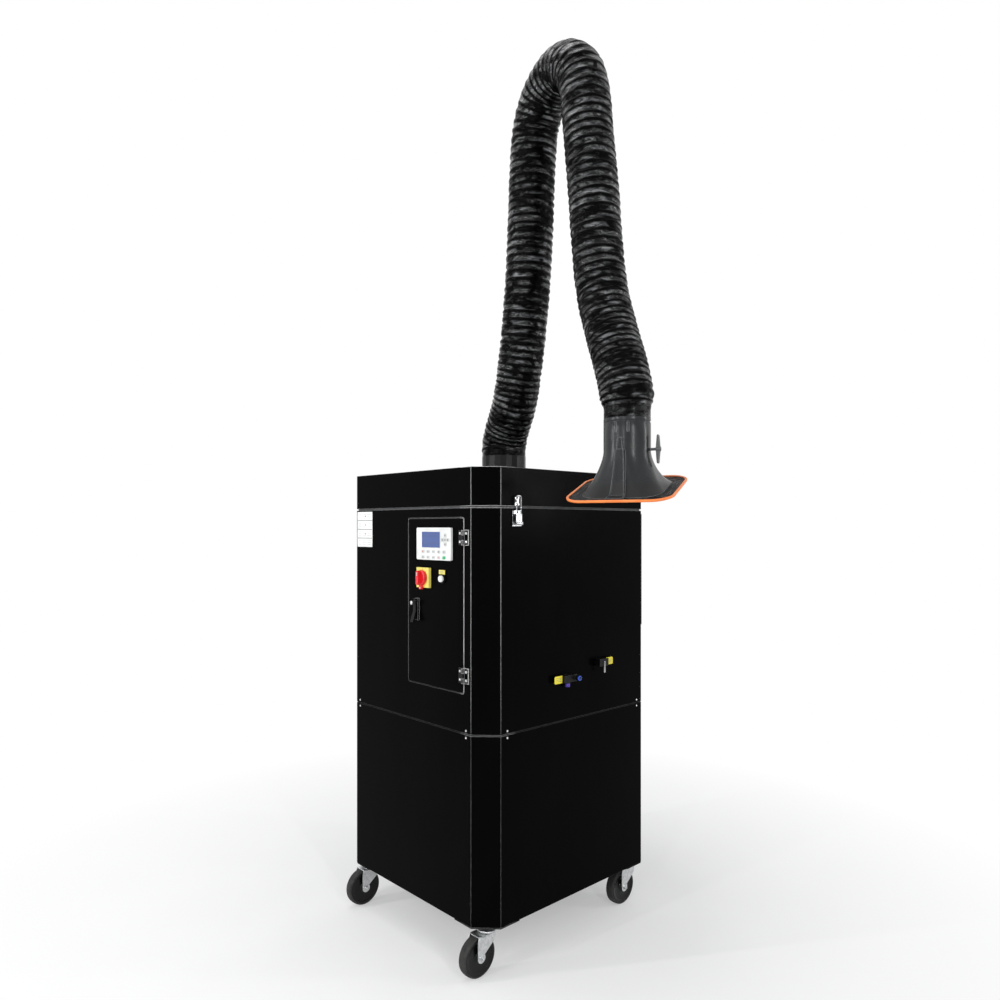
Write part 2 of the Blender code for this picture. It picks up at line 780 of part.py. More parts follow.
def upper_cabinet():
    """The upper section: walls and both flanges, cut for the doors, the drawer and the air fittings."""
    bm = solid((cabinet_shell, (
        (0, UPPER_LOW), (0, UPPER_TOP), (BEND_FLANGE, UPPER_TOP), (BEND_FLANGE, UPPER_TOP - SHEET),
        (SHEET, UPPER_TOP - SHEET), (SHEET, UPPER_LOW + SHEET), (BEND_FLANGE, UPPER_LOW + SHEET),
        (BEND_FLANGE, UPPER_LOW),
    ), True))
    cutters = bmesh.new()
    prism(cutters, door_outline(), "Y", FRONT - CUT_OVERRUN, FRONT + SHEET + CUT_OVERRUN)
    service_half = SERVICE_OPENING_WIDTH / 2
    low = LOWER_BASE + SERVICE_LOW + SERVICE_OPENING_MARGIN
    high = LOWER_BASE + SERVICE_TOP - SERVICE_OPENING_MARGIN
    rear_low, rear_high = REAR - SHEET - CUT_OVERRUN, REAR + CUT_OVERRUN
    box(cutters, (-service_half, rear_low, low), (service_half, rear_high, high))
    half = DRAWER_WIDTH / 2 + DRAWER_SHEET
    drawer_low = LOWER_BASE + DRAWER_LOW - DRAWER_SHEET
    drawer_high = drawer_low + DRAWER_HEIGHT + 2 * DRAWER_SHEET
    box(cutters, (-half, rear_low, drawer_low), (half, rear_high, drawer_high))
    for y, height in ((INLET_Y, INLET_HEIGHT), (DRAIN_Y, DRAIN_HEIGHT)):
        start = Vector((HALF_WIDTH - SHEET - CUT_OVERRUN, y, LOWER_BASE + height))
        hole = bore_radius(NIPPLE_RADIUS, 12)
        rod(cutters, start, start + Vector((SHEET + 2 * CUT_OVERRUN, 0, 0)), hole, 12)
    return piece("upper_cabinet", bm, black_paint(), joins=fixed_hinge_halves(), cuts=[cutters])


def lid_seal():
    half = SEAL_WIDTH / 2
    middle = BEND_FLANGE / 2 + SEAM_INSET / 2
    stations = (
        (middle - half, SEAL_LOW), (middle - half, SEAL_TOP), (middle + half, SEAL_TOP),
        (middle + half, SEAL_LOW),
    )
    return piece("lid_seal", solid((cabinet_shell, stations, True)), seal_rubber())


# Control door and what it carries

def door_plate_hole(bm, x, height, radius, sides):
    start = on_front(x, height, CUT_OVERRUN)
    rod(bm, start, start + Vector((0, SHEET + 2 * CUT_OVERRUN, 0)), radius, sides)


def control_door(joint):
    """A shallow tray flush with the front face, cut for the display, switches and lock."""
    rings = []
    for inset, y in (
        (DOOR_GAP, FRONT), (DOOR_GAP, FRONT + DOOR_RETURN), (DOOR_GAP + SHEET, FRONT + DOOR_RETURN),
        (DOOR_GAP + SHEET, FRONT + SHEET),
    ):
        rings.append([(x, y, z) for x, z in door_outline(inset)])
    cutters = bmesh.new()
    half = [size / 2 - DISPLAY_BODY_MARGIN + GAP for size in DISPLAY_SIZE]
    height = LOWER_BASE + DISPLAY_HEIGHT
    box(
        cutters, (DISPLAY_X - half[0], FRONT - CUT_OVERRUN, height - half[1]),
        (DISPLAY_X + half[0], FRONT + SHEET + CUT_OVERRUN, height + half[1]),
    )
    door_plate_hole(cutters, ISOLATOR_X, ISOLATOR_HEIGHT, bore_radius(2 * ISOLATOR_SPINDLE, 12), 12)
    door_plate_hole(cutters, BUTTON_X, BUTTON_HEIGHT, bore_radius(BARREL_RADIUS, 14), 14)
    radius = bore_radius(LOCK_SPINDLE, 12)
    front_rod(cutters, *lock_place(), radius, -LOCK_RISE - CUT_OVERRUN, SHEET + CUT_OVERRUN, 12)
    bm = solid((stack, rings))
    return piece("control_door", bm, black_paint(), joint, joins=[lock_plate()], cuts=[cutters])


def hinge_axis():
    return on_front(DOOR_RIGHT - DOOR_GAP / 2, 0, HINGE_STANDOFF)


def hinge_place(along, out, height):
    """A point by a door hinge: along the face from the axis, proud of the face, and a height."""
    axis = hinge_axis()
    return (axis.x + along, FRONT - out, height)


def hinge_plate(bm, side, low, high, near, far, back=GAP):
    """A leaf's rectangle on the front face; side -1 lies on the door, 1 on the cabinet."""
    ends = sorted((side * near, side * far))
    start = hinge_place(ends[0], GAP + HINGE_LEAF_THICKNESS, low)
    box(bm, start, hinge_place(ends[1], back, high))


def hinge_screws(bm, side, middle):
    """Two domed screw heads on a leaf."""
    head = HINGE_LEAF_THICKNESS
    dome = ((HINGE_SCREW_HEAD, 0), (HINGE_SCREW_HEAD, head), (HINGE_SCREW_HEAD / 2, 1.5 * head))
    for step in (-0.5, 0.5):
        start = hinge_place(side * 0.62 * HINGE_LEAF, GAP + head / 2, middle + step * HINGE_SCREW_PITCH)
        turned(bm, dome, 8, start, Vector((0, -1, 0)))


def hinge_half(tools, side, height, thirds, fixed):
    """Half of a door hinge: leaf, tongues, knuckles and screws, into four bmeshes."""
    plates, tongues, knuckles, screws = tools
    middle = LOWER_BASE + height
    base = middle - HINGE_LENGTH / 2
    clear = HINGE_KNUCKLE + GAP
    back = -SHEET / 2 if fixed else GAP
    hinge_plate(plates, side, base, base + HINGE_LENGTH, clear, HINGE_LEAF, back)
    for third in thirds:
        low = base + third * HINGE_LENGTH / 3 + GAP
        high = base + (third + 1) * HINGE_LENGTH / 3 - GAP
        hinge_plate(tongues, side, low, high, HINGE_KNUCKLE / 2, clear + HINGE_KNUCKLE)
        axis = hinge_axis()
        ends = [Vector((axis.x, axis.y, z)) for z in (low, high)]
        if fixed:
            rod(knuckles, *ends, HINGE_KNUCKLE, 8)
        else:
            pipe(knuckles, *ends, HINGE_KNUCKLE, bore_radius(HINGE_PIN, 8), 8)
    hinge_screws(screws, side, middle)


def door_hinge_leaf(label, height, joint):
    """A leaf on the control door, with its middle knuckle and two screws."""
    tools = [bmesh.new() for _ in range(4)]
    hinge_half(tools, -1, height, (1,), False)
    name = f"door_hinge_leaf_{label}"
    return piece(name, tools[0], dark_zinc(), joint, joins=tools[1:], smooth_deg=40)


def door_hinge_pins():
    bm = bmesh.new()
    axis = hinge_axis()
    for height in HINGE_HEIGHTS:
        low = LOWER_BASE + height - HINGE_LENGTH / 2 + GAP
        ends = [Vector((axis.x, axis.y, z)) for z in (low, low + HINGE_LENGTH - 2 * GAP)]
        rod(bm, *ends, HINGE_PIN, 8)
    return bm


def lid_hinge_axis():
    return Vector((0, REAR + HINGE_STANDOFF, SEAM_MIDDLE))


def lid_hinge_half(tools, side, thirds, fixed):
    """Half of both lid hinges on the rear face; side 1 is on the lid, -1 on the cabinet."""
    plates, tongues, knuckles = tools
    axis = lid_hinge_axis()
    near = HINGE_KNUCKLE + GAP
    rear = REAR + GAP
    back = rear + HINGE_LEAF_THICKNESS
    for x in LID_HINGE_X:
        start = x - LID_HINGE_LENGTH / 2
        ends = sorted((axis.z + side * near, axis.z + side * LID_HINGE_LEAF))
        box(plates, (start, REAR - SHEET / 2, ends[0]), (start + LID_HINGE_LENGTH, back, ends[1]))
        for third in thirds:
            low = start + third * LID_HINGE_LENGTH / 3 + GAP
            high = start + (third + 1) * LID_HINGE_LENGTH / 3 - GAP
            ends = sorted((axis.z + side * near / 2, axis.z + side * 2 * near))
            box(tongues, (low, rear, ends[0]), (high, back, ends[1]))
            barrel = [Vector((value, axis.y, axis.z)) for value in (low, high)]
            if fixed:
                rod(knuckles, *barrel, HINGE_KNUCKLE, 8)
            else:
                pipe(knuckles, *barrel, HINGE_KNUCKLE, bore_radius(HINGE_PIN, 8), 8)


def lid_hinge_pins():
    bm = bmesh.new()
    axis = lid_hinge_axis()
    for x in LID_HINGE_X:
        half = LID_HINGE_LENGTH / 2 - GAP
        rod(bm, *[Vector((x + side * half, axis.y, axis.z)) for side in (-1, 1)], HINGE_PIN, 8)
    return bm


def service_hinge_axis():
    """The service door's axis, off the corner where the left side meets the rear chamfer."""
    out = Vector((-math.cos(math.radians(22.5)), math.sin(math.radians(22.5)), 0))
    return Vector((-HALF_WIDTH, HALF_DEPTH - CORNER_CHAMFER, 0)) + SERVICE_HINGE_OUT * out


def service_knuckle_spans(thirds):
    """Height spans of the service hinge knuckles, near the door's foot and head."""
    spans = []
    door = SERVICE_TOP - SERVICE_LOW
    for share in (0.15, 0.85):
        base = LOWER_BASE + SERVICE_LOW + share * door - SERVICE_KNUCKLE_LENGTH / 2
        for third in thirds:
            low = base + third * SERVICE_KNUCKLE_LENGTH / 3 + GAP
            spans.append((low, low + SERVICE_KNUCKLE_LENGTH / 3 - 2 * GAP))
    return spans


def at_height(point, height):
    return Vector((point.x, point.y, height))


def fixed_hinge_halves():
    """The hinge halves welded to the upper cabinet, each with its pin."""
    tools = [bmesh.new() for _ in range(4)]
    for height in HINGE_HEIGHTS:
        hinge_half(tools, 1, height, (0, 2), True)
    lid_hinge_half(tools[:3], -1, (0, 2), True)
    axis = service_hinge_axis()
    pins = bmesh.new()
    spans = service_knuckle_spans((0, 2))
    for low, high in spans:
        box(
            tools[0], (-HALF_WIDTH - GAP - SHEET, axis.y - HINGE_LEAF, low),
            (-HALF_WIDTH + SHEET / 2, axis.y, high),
        )
        rod(tools[2], at_height(axis, low), at_height(axis, high), SERVICE_KNUCKLE, 8)
    for (low, _), (_, high) in zip(spans[::2], spans[1::2]):
        rod(pins, at_height(axis, low), at_height(axis, high), HINGE_PIN, 8)
    return tools + [door_hinge_pins(), lid_hinge_pins(), pins]


def display_frame(joint):
    """Operator panel: bezel with raised keys, and a housing through the door."""
    half_x, half_z = DISPLAY_SIZE[0] / 2, DISPLAY_SIZE[1] / 2
    centre = on_front(DISPLAY_X, DISPLAY_HEIGHT)
    back = FRONT - GAP
    face = back - DISPLAY_BEZEL
    outline = rounded_rect(
        (centre.x - half_x, centre.z - half_z), (centre.x + half_x, centre.z + half_z),
        DISPLAY_BODY_MARGIN / 2, 2,
    )
    bezel = solid((prism, outline, "Y", face, back))
    inner = (half_x - DISPLAY_BODY_MARGIN, half_z - DISPLAY_BODY_MARGIN)
    housing = solid((
        box, (centre.x - inner[0], back - DISPLAY_BEZEL / 2, centre.z - inner[1]),
        (centre.x + inner[0], FRONT + SHEET + DISPLAY_BODY_DEPTH, centre.z + inner[1]),
    ))
    keys = bmesh.new()
    for x, z in key_places():
        box(
            keys, (x - KEY_SIZE[0] / 2, face - KEY_RISE, z - KEY_SIZE[1] / 2),
            (x + KEY_SIZE[0] / 2, face + KEY_RISE, z + KEY_SIZE[1] / 2),
        )
    low, high = screen_corners(0.0)
    recess = solid((
        box, (low[0], face - CUT_OVERRUN, low[1]),
        (high[0], face + SCREEN_RECESS + SCREEN_THICKNESS + GAP, high[1]),
    ))
    return piece("display_frame", bezel, black_plastic(), joint, joins=[housing, keys], cuts=[recess])


def key_places():
    """Key centres: five in each of two rows, and a cross of arrows beside the screen."""
    centre = on_front(DISPLAY_X, DISPLAY_HEIGHT)
    row = centre.z - DISPLAY_SIZE[1] / 2 + KEY_SIZE[1]
    places = []
    for line in range(2):
        for column in range(-2, 3):
            places.append((centre.x + column * KEY_PITCH[0], row + line * KEY_PITCH[1]))
    screen_right = centre.x + SCREEN_OFFSET[0] + SCREEN_SIZE[0] / 2
    cross_x = (screen_right + centre.x + DISPLAY_SIZE[0] / 2) / 2
    cross_z = centre.z + SCREEN_OFFSET[1]
    step = 1.25 * KEY_SIZE[0]
    places += [(cross_x - step, cross_z), (cross_x + step, cross_z)]
    places += [(cross_x, cross_z - step), (cross_x, cross_z + step)]
    return places


def screen_corners(clearance):
    centre = on_front(DISPLAY_X + SCREEN_OFFSET[0], DISPLAY_HEIGHT + SCREEN_OFFSET[1])
    half = [size / 2 - clearance for size in SCREEN_SIZE]
    return (centre.x - half[0], centre.z - half[1]), (centre.x + half[0], centre.z + half[1])


def display_screen(joint):
    low, high = screen_corners(GAP)
    face = FRONT - GAP - DISPLAY_BEZEL + SCREEN_RECESS
    bm = solid((box, (low[0], face, low[1]), (high[0], face + SCREEN_THICKNESS, high[1])))
    return piece("display_screen", bm, screen_blue(), joint)


def front_box(bm, x, height, width, tall, near, far):
    """A box centred on a place on the front; near and far are depths behind the face."""
    centre = on_front(x, height)
    box(
        bm, (x - width / 2, FRONT + near, centre.z - tall / 2),
        (x + width / 2, FRONT + far, centre.z + tall / 2),
    )


def front_rod(bm, x, height, radius, near, far, sides):
    start = on_front(x, height, -near)
    rod(bm, start, on_front(x, height, -far), radius, sides)


def isolator_plate(joint):
    """Square switch plate, its neck through the door and the switch body behind."""
    plate = bmesh.new()
    front = -GAP - ISOLATOR_PLATE_THICKNESS
    place = (ISOLATOR_X, ISOLATOR_HEIGHT)
    front_box(plate, *place, ISOLATOR_PLATE, ISOLATOR_PLATE, front, -GAP)
    neck, body, bore = bmesh.new(), bmesh.new(), bmesh.new()
    behind = SHEET + GAP
    depth = behind + ISOLATOR_BODY_DEPTH
    front_rod(neck, *place, 2 * ISOLATOR_SPINDLE, front / 2, depth / 2, 12)
    front_box(body, *place, ISOLATOR_BODY, ISOLATOR_BODY, behind, depth)
    front_rod(bore, *place, bore_radius(ISOLATOR_SPINDLE, 12), front - CUT_OVERRUN, depth / 2, 12)
    return piece("isolator_plate", plate, safety_yellow(), joint, joins=[neck, body], cuts=[bore])


def isolator_handle(joint):
    """Round switch handle with a raised grip, a tab below and a spindle behind."""
    face = -GAP - ISOLATOR_PLATE_THICKNESS - GAP
    place = (ISOLATOR_X, ISOLATOR_HEIGHT)
    knob, grip, tab, spindle = [bmesh.new() for _ in range(4)]
    front_rod(knob, *place, HANDLE_RADIUS, face - HANDLE_DEPTH / 2, face, 20)
    long = 2 * HANDLE_RADIUS * 0.98
    front_box(grip, *place, HANDLE_GRIP_WIDTH, long, face - HANDLE_DEPTH, face - HANDLE_DEPTH / 3)
    below = ISOLATOR_HEIGHT - HANDLE_RADIUS
    front_box(
        tab, ISOLATOR_X, below, HANDLE_GRIP_WIDTH, 2 * HANDLE_TAB, face - HANDLE_DEPTH / 4,
        face - HANDLE_DEPTH / 12,
    )
    front_rod(spindle, *place, ISOLATOR_SPINDLE, face - HANDLE_DEPTH / 4, ISOLATOR_BODY_DEPTH / 3, 12)
    return piece(
        "isolator_handle", knob, safety_red(), joint, joins=[grip, tab, spindle], smooth_deg=35,
    )


def button_bezel(joint):
    """Pushbutton collar with its barrel through the door, and the legend plate above it."""
    centre = on_front(BUTTON_X, BUTTON_HEIGHT)
    bore = bore_radius(BUTTON_STEM, 14)
    well = bore_radius(BUTTON_RADIUS, 14)
    inward = Vector((0, 1, 0))
    front = -GAP - BEZEL_HEIGHT
    profile = (
        (well, front), (BEZEL_RADIUS - BEZEL_FLOOR, front), (BEZEL_RADIUS, front + BEZEL_FLOOR),
        (BEZEL_RADIUS, -GAP), (BARREL_RADIUS, -GAP), (BARREL_RADIUS, BARREL_DEPTH),
        (bore, BARREL_DEPTH), (bore, -GAP - BEZEL_FLOOR), (well, -GAP - BEZEL_FLOOR),
    )
    ring = solid((turned, profile, 14, centre, inward, True))
    legend = bmesh.new()
    above = BUTTON_HEIGHT + BEZEL_RADIUS + LEGEND_SIZE[1] / 2 - BEZEL_FLOOR
    front_box(legend, BUTTON_X, above, *LEGEND_SIZE, -GAP - 2 * BEZEL_FLOOR, -GAP)
    return piece("button_bezel", ring, black_plastic(), joint, joins=[legend], smooth_deg=35)


def push_button(joint):
    """The cap with its stem; at rest its skirt stands one travel clear of the collar's floor."""
    centre = on_front(BUTTON_X, BUTTON_HEIGHT)
    floor = -GAP - BEZEL_FLOOR
    foot = floor - BUTTON_TRAVEL - GAP
    top = -GAP - BEZEL_HEIGHT - BUTTON_RISE
    profile = (
        (BUTTON_STEM, BUTTON_STEM_DEPTH), (BUTTON_STEM, foot), (BUTTON_RADIUS, foot),
        (BUTTON_RADIUS, top + BEZEL_FLOOR), (BUTTON_RADIUS - BEZEL_FLOOR, top),
    )
    bm = solid((turned, profile, 14, centre, Vector((0, 1, 0))))
    return piece("push_button", bm, white_plastic(), joint, smooth_deg=35)


def lock_place():
    return LOCK_X, LOCK_TOP - LOCK_PIVOT_SETBACK


def lock_plate():
    """Raised escutcheon of the door lock, pressed into the door."""
    middle = (LOCK_LOW + LOCK_TOP) / 2
    tall = LOCK_TOP - LOCK_LOW
    return solid((front_box, LOCK_X, middle, LOCK_WIDTH, tall, -GAP - LOCK_RISE, SHEET / 2))


def lock_lever(joint):
    """Swing lever with the key cylinder, the spindle and the cam behind the door."""
    pivot = on_front(*lock_place())
    face = FRONT - GAP - LOCK_RISE - GAP
    foot = LOWER_BASE + LOCK_LOW - LEVER_THICKNESS
    reach = face - LEVER_THICKNESS
    outline = (
        (face, pivot.z + LEVER_WIDTH / 2), (face, pivot.z - 2 * LEVER_WIDTH),
        (face - LEVER_KICK, foot), (reach - LEVER_KICK, foot), (reach, pivot.z - 2 * LEVER_WIDTH),
        (reach, pivot.z + LEVER_WIDTH / 2),
    )
    half = LEVER_WIDTH / 2
    lever = solid((prism, outline, "X", pivot.x - half, pivot.x + half))
    cam_front = FRONT + CAM_SETBACK
    spindle, key, cam = bmesh.new(), bmesh.new(), bmesh.new()
    front_rod(spindle, *lock_place(), LOCK_SPINDLE, -LOCK_RISE - 2 * GAP - LEVER_THICKNESS / 2,
              CAM_SETBACK + CAM_THICKNESS / 2, 12)
    front_rod(key, *lock_place(), LOCK_SPINDLE * 0.9, reach - FRONT - LEVER_THICKNESS / 3,
              reach - FRONT + LEVER_THICKNESS / 4, 12)
    box(
        cam, (pivot.x - CAM_WIDTH / 2, cam_front, pivot.z - CAM_WIDTH / 2),
        (pivot.x + CAM_WIDTH / 2, cam_front + CAM_THICKNESS, pivot.z + CAM_LENGTH),
    )
    return piece("lock_lever", lever, black_plastic(), joint, joins=[spindle, key, cam])


# Inside the upper cabinet

def control_enclosure():
    """Sheet box behind the control door, open to the front."""
    low = (DOOR_LEFT - ENCLOSURE_MARGIN, LOWER_BASE + DOOR_LOW - ENCLOSURE_MARGIN)
    high = (DOOR_RIGHT + ENCLOSURE_MARGIN, LOWER_BASE + DOOR_TOP + ENCLOSURE_MARGIN)
    front = FRONT + SHEET + GAP
    back = front + ENCLOSURE_DEPTH
    rings = []
    for inset, y in ((0, back), (0, front), (SHEET, front), (SHEET, back - SHEET)):
        rings.append([
            (low[0] + inset, y, low[1] + inset), (high[0] - inset, y, low[1] + inset),
            (high[0] - inset, y, high[1] - inset), (low[0] + inset, y, high[1] - inset),
        ])
    return piece("control_enclosure", solid((stack, rings)), galvanised())


def control_gear():
    """Mounting plate with power supply, contactor, breaker and controller blocks."""
    back = FRONT + SHEET + GAP + ENCLOSURE_DEPTH - SHEET - GAP
    face = back - GEAR_PLATE
    left, right = DOOR_LEFT + ENCLOSURE_MARGIN, DOOR_RIGHT - ENCLOSURE_MARGIN
    low = LOWER_BASE + DOOR_LOW + ENCLOSURE_MARGIN
    high = LOWER_BASE + DOOR_TOP - ENCLOSURE_MARGIN
    plate = solid((box, (left, face, low), (right, back, high)))
    blocks = bmesh.new()
    wide, tall = right - left, high - low
    for start, end, foot, head, depth in GEAR_SHARES:
        box(
            blocks, (left + start * wide, face - depth * ENCLOSURE_DEPTH, low + foot * tall),
            (left + end * wide, face + GEAR_PLATE / 2, low + head * tall),
        )
    return piece("control_gear", plate, galvanised(), joins=[blocks])


# Blocks on the mounting plate: left, right, foot, head and depth shares
GEAR_SHARES = (
    (0.08, 0.46, 0.66, 0.92, 0.45), (0.56, 0.74, 0.70, 0.88, 0.50), (0.78, 0.92, 0.70, 0.88, 0.40),
    (0.08, 0.62, 0.38, 0.58, 0.40), (0.68, 0.92, 0.40, 0.58, 0.40), (0.08, 0.92, 0.10, 0.17, 0.30),
    (0.08, 0.92, 0.22, 0.27, 0.25),
)


def tube_sheet():
    """Wall between dusty and clean air: an upright plate, and a return over the clean side."""
    inset = SHEET + GAP
    wide = HALF_WIDTH - inset
    narrow = HALF_WIDTH - BEND_FLANGE - GAP
    ledge = UPPER_LOW + SHEET + GAP
    outline = (
        (-narrow, DECK_TOP + GAP), (narrow, DECK_TOP + GAP), (narrow, ledge), (wide, ledge),
        (wide, TUBE_SHEET_TOP), (-wide, TUBE_SHEET_TOP), (-wide, ledge), (-narrow, ledge),
    )
    upright = solid((prism, outline, "Y", TUBE_SHEET_Y - SHEET, TUBE_SHEET_Y))
    roof_outline = [point for point in cabinet_outline(inset) if point[1] < 0]
    roof_outline = sorted(roof_outline, key=lambda point: math.atan2(point[1], point[0]))
    roof_outline += [(wide, TUBE_SHEET_Y - SHEET / 2), (-wide, TUBE_SHEET_Y - SHEET / 2)]
    roof = solid((prism, roof_outline, "Z", TUBE_SHEET_TOP - SHEET, TUBE_SHEET_TOP))
    holes = bmesh.new()
    for side in (-1, 1):
        start = Vector((side * CARTRIDGE_X, TUBE_SHEET_Y - SHEET - CUT_OVERRUN, cartridge_height()))
        rod(holes, start, start + Vector((0, SHEET + 2 * CUT_OVERRUN, 0)), CARTRIDGE_BORE, 24)
    return piece("tube_sheet", upright, galvanised(), joins=[roof], cuts=[holes])


def cartridge_height():
    return LOWER_BASE + CARTRIDGE_Z


def filter_cartridge(label, side):
    """A pleated cartridge lying along Y, closed at its rear end."""
    bm = bmesh.new()
    count = 2 * CARTRIDGE_PLEATS
    start = TUBE_SHEET_Y + GAP
    end = start + CARTRIDGE_LENGTH
    deep = CARTRIDGE_RADIUS - CARTRIDGE_PLEAT
    bore = CARTRIDGE_BORE
    stations = (
        (end, deep, deep), (end - CARTRIDGE_CAP, deep, deep),
        (end - CARTRIDGE_CAP - CARTRIDGE_PLEAT, CARTRIDGE_RADIUS, deep),
        (start + CARTRIDGE_CAP + CARTRIDGE_PLEAT, CARTRIDGE_RADIUS, deep),
        (start + CARTRIDGE_CAP, deep, deep), (start, deep, deep), (start, bore, bore),
        (end - CARTRIDGE_CAP, bore, bore),
    )
    rings = []
    for y, peak, valley in stations:
        ring = []
        for index in range(count):
            angle = 2 * math.pi * index / count
            radius = peak if index % 2 else valley
            x = side * CARTRIDGE_X + radius * math.cos(angle)
            ring.append((x, y, cartridge_height() + radius * math.sin(angle)))
        rings.append(ring)
    stack(bm, rings)
    return piece(f"filter_cartridge_{label}", bm, filter_media())


def air_receiver():
    """Pulse-air tank with feet, two diaphragm valves and the two blow pipes."""
    centre_z = DECK_TOP + GAP + RECEIVER_FOOT + RECEIVER_RADIUS
    half = RECEIVER_LENGTH / 2
    dome = RECEIVER_RADIUS / 3
    profile = (
        (RECEIVER_RADIUS - dome, 0), (RECEIVER_RADIUS, dome), (RECEIVER_RADIUS, RECEIVER_LENGTH - dome),
        (RECEIVER_RADIUS - dome, RECEIVER_LENGTH),
    )
    tank = solid((turned, profile, 16, (-half, RECEIVER_Y, centre_z), Vector((1, 0, 0))))
    feet, valves, pipes = bmesh.new(), bmesh.new(), bmesh.new()
    for side in (-1, 1):
        x = side * CARTRIDGE_X
        box(
            feet, (x - VALVE_RADIUS, RECEIVER_Y - VALVE_RADIUS, DECK_TOP + GAP),
            (x + VALVE_RADIUS, RECEIVER_Y + VALVE_RADIUS, centre_z - RECEIVER_RADIUS / 2),
        )
        foot = centre_z - VALVE_HEIGHT / 2
        rod(
            valves, (x, BLOW_PIPE_Y, foot), (x, BLOW_PIPE_Y, foot + VALVE_HEIGHT), VALVE_RADIUS, 10,
        )
        bend = 1.5 * BLOW_PIPE
        top = cartridge_height()
        rod(pipes, (x, RECEIVER_Y + RECEIVER_RADIUS / 2, centre_z),
            (x, BLOW_PIPE_Y - VALVE_RADIUS / 2, centre_z), BLOW_PIPE, 8)
        bent_rod(pipes, (
            (x, BLOW_PIPE_Y, centre_z + VALVE_HEIGHT / 4), (x, BLOW_PIPE_Y, top - bend),
            (x, BLOW_PIPE_Y + bend * 0.3, top - bend * 0.3), (x, BLOW_PIPE_Y + bend, top),
            (x, NOZZLE_END_Y, top),
        ), BLOW_PIPE, 8)
    return piece(
        "air_receiver", tank, motor_paint(), joins=[feet, valves, pipes], smooth_deg=40,
    )


# Fan and motor

def scroll_outline(wall, end_y):
    """The scroll's outline drawn in by a wall, with its duct carried to end_y."""
    steps = 14
    outline = []
    for index in range(steps + 1):
        angle = math.radians(SCROLL_TONGUE_DEG + (360 - SCROLL_TONGUE_DEG) * index / steps)
        radius = SCROLL_START + (SCROLL_END - SCROLL_START) * index / steps - wall
        outline.append((radius * math.cos(angle), FAN_Y + radius * math.sin(angle)))
    tongue = SCROLL_START * math.cos(math.radians(SCROLL_TONGUE_DEG)) + wall
    outline += [(SCROLL_END - wall, end_y), (tongue, end_y)]
    if wall:
        outline.append((tongue, outline[0][1]))
    return outline


def fan_scroll():
    """Spiral fan housing hung under the deck, with its duct to the rear outlet."""
    end = REAR - SHEET - GAP
    body = solid((prism, scroll_outline(0, end), "Z", SCROLL_LOW, SCROLL_TOP))
    hollow = solid((
        prism, scroll_outline(SHEET, end + CUT_OVERRUN), "Z", SCROLL_LOW + SHEET, SCROLL_TOP - SHEET,
    ))
    collar = solid((
        pipe, (0, FAN_Y, SCROLL_TOP - SHEET / 2), (0, FAN_Y, DECK_LOW - GAP),
        FAN_INLET_RADIUS + 2 * SHEET, FAN_INLET_RADIUS, 32,
    ))
    openings = bmesh.new()
    rod(openings, (0, FAN_Y, SCROLL_TOP - SHEET - CUT_OVERRUN / 2),
        (0, FAN_Y, SCROLL_TOP + CUT_OVERRUN), FAN_INLET_RADIUS, 32)
    rod(openings, (0, FAN_Y, SCROLL_LOW - CUT_OVERRUN),
        (0, FAN_Y, SCROLL_LOW + SHEET + CUT_OVERRUN), 2 * SHAFT_RADIUS, 16)
    return piece("fan_scroll", body, galvanised(), joins=[collar], cuts=[hollow, openings], smooth_deg=30)


def fan_impeller(joint):
    """Backward-curved wheel between two plates, with its hub and shaft."""
    low = SCROLL_LOW + SHEET + IMPELLER_CLEARANCE
    high = SCROLL_TOP - SHEET - IMPELLER_CLEARANCE
    plates, blades, hub = bmesh.new(), bmesh.new(), bmesh.new()
    centre = Vector((0, FAN_Y, 0))
    rod(plates, centre + low * UP, centre + (low + IMPELLER_PLATE) * UP, IMPELLER_RADIUS, 20)
    pipe(plates, centre + (high - IMPELLER_PLATE) * UP, centre + high * UP, IMPELLER_RADIUS,
         FAN_INLET_RADIUS, 20)
    long = (IMPELLER_RADIUS - BLADE_INNER) * 1.05
    for index in range(BLADE_COUNT):
        turn = 2 * math.pi * index / BLADE_COUNT
        lean = turn + math.radians(38)
        start = centre + BLADE_INNER * Vector((math.cos(turn), math.sin(turn), 0))
        along = long * Vector((math.cos(lean), math.sin(lean), 0))
        side = BLADE_THICKNESS / 2 * Vector((-math.sin(lean), math.cos(lean), 0))
        corners = (start - side, start + along - side, start + along + side, start + side)
        prism(blades, [(point.x, point.y) for point in corners], "Z", low + IMPELLER_PLATE / 2,
              high - IMPELLER_PLATE / 2)
    foot = SCROLL_LOW - SHAFT_DEPTH - low
    profile = (
        (SHAFT_RADIUS, foot), (SHAFT_RADIUS, -IMPELLER_PLATE), (IMPELLER_HUB, -IMPELLER_PLATE),
        (IMPELLER_HUB, IMPELLER_HUB), (SHAFT_RADIUS, IMPELLER_HUB),
    )
    turned(hub, profile, 16, centre + low * UP)
    return piece("fan_impeller", plates, galvanised(), joint, joins=[blades, hub], smooth_deg=35)


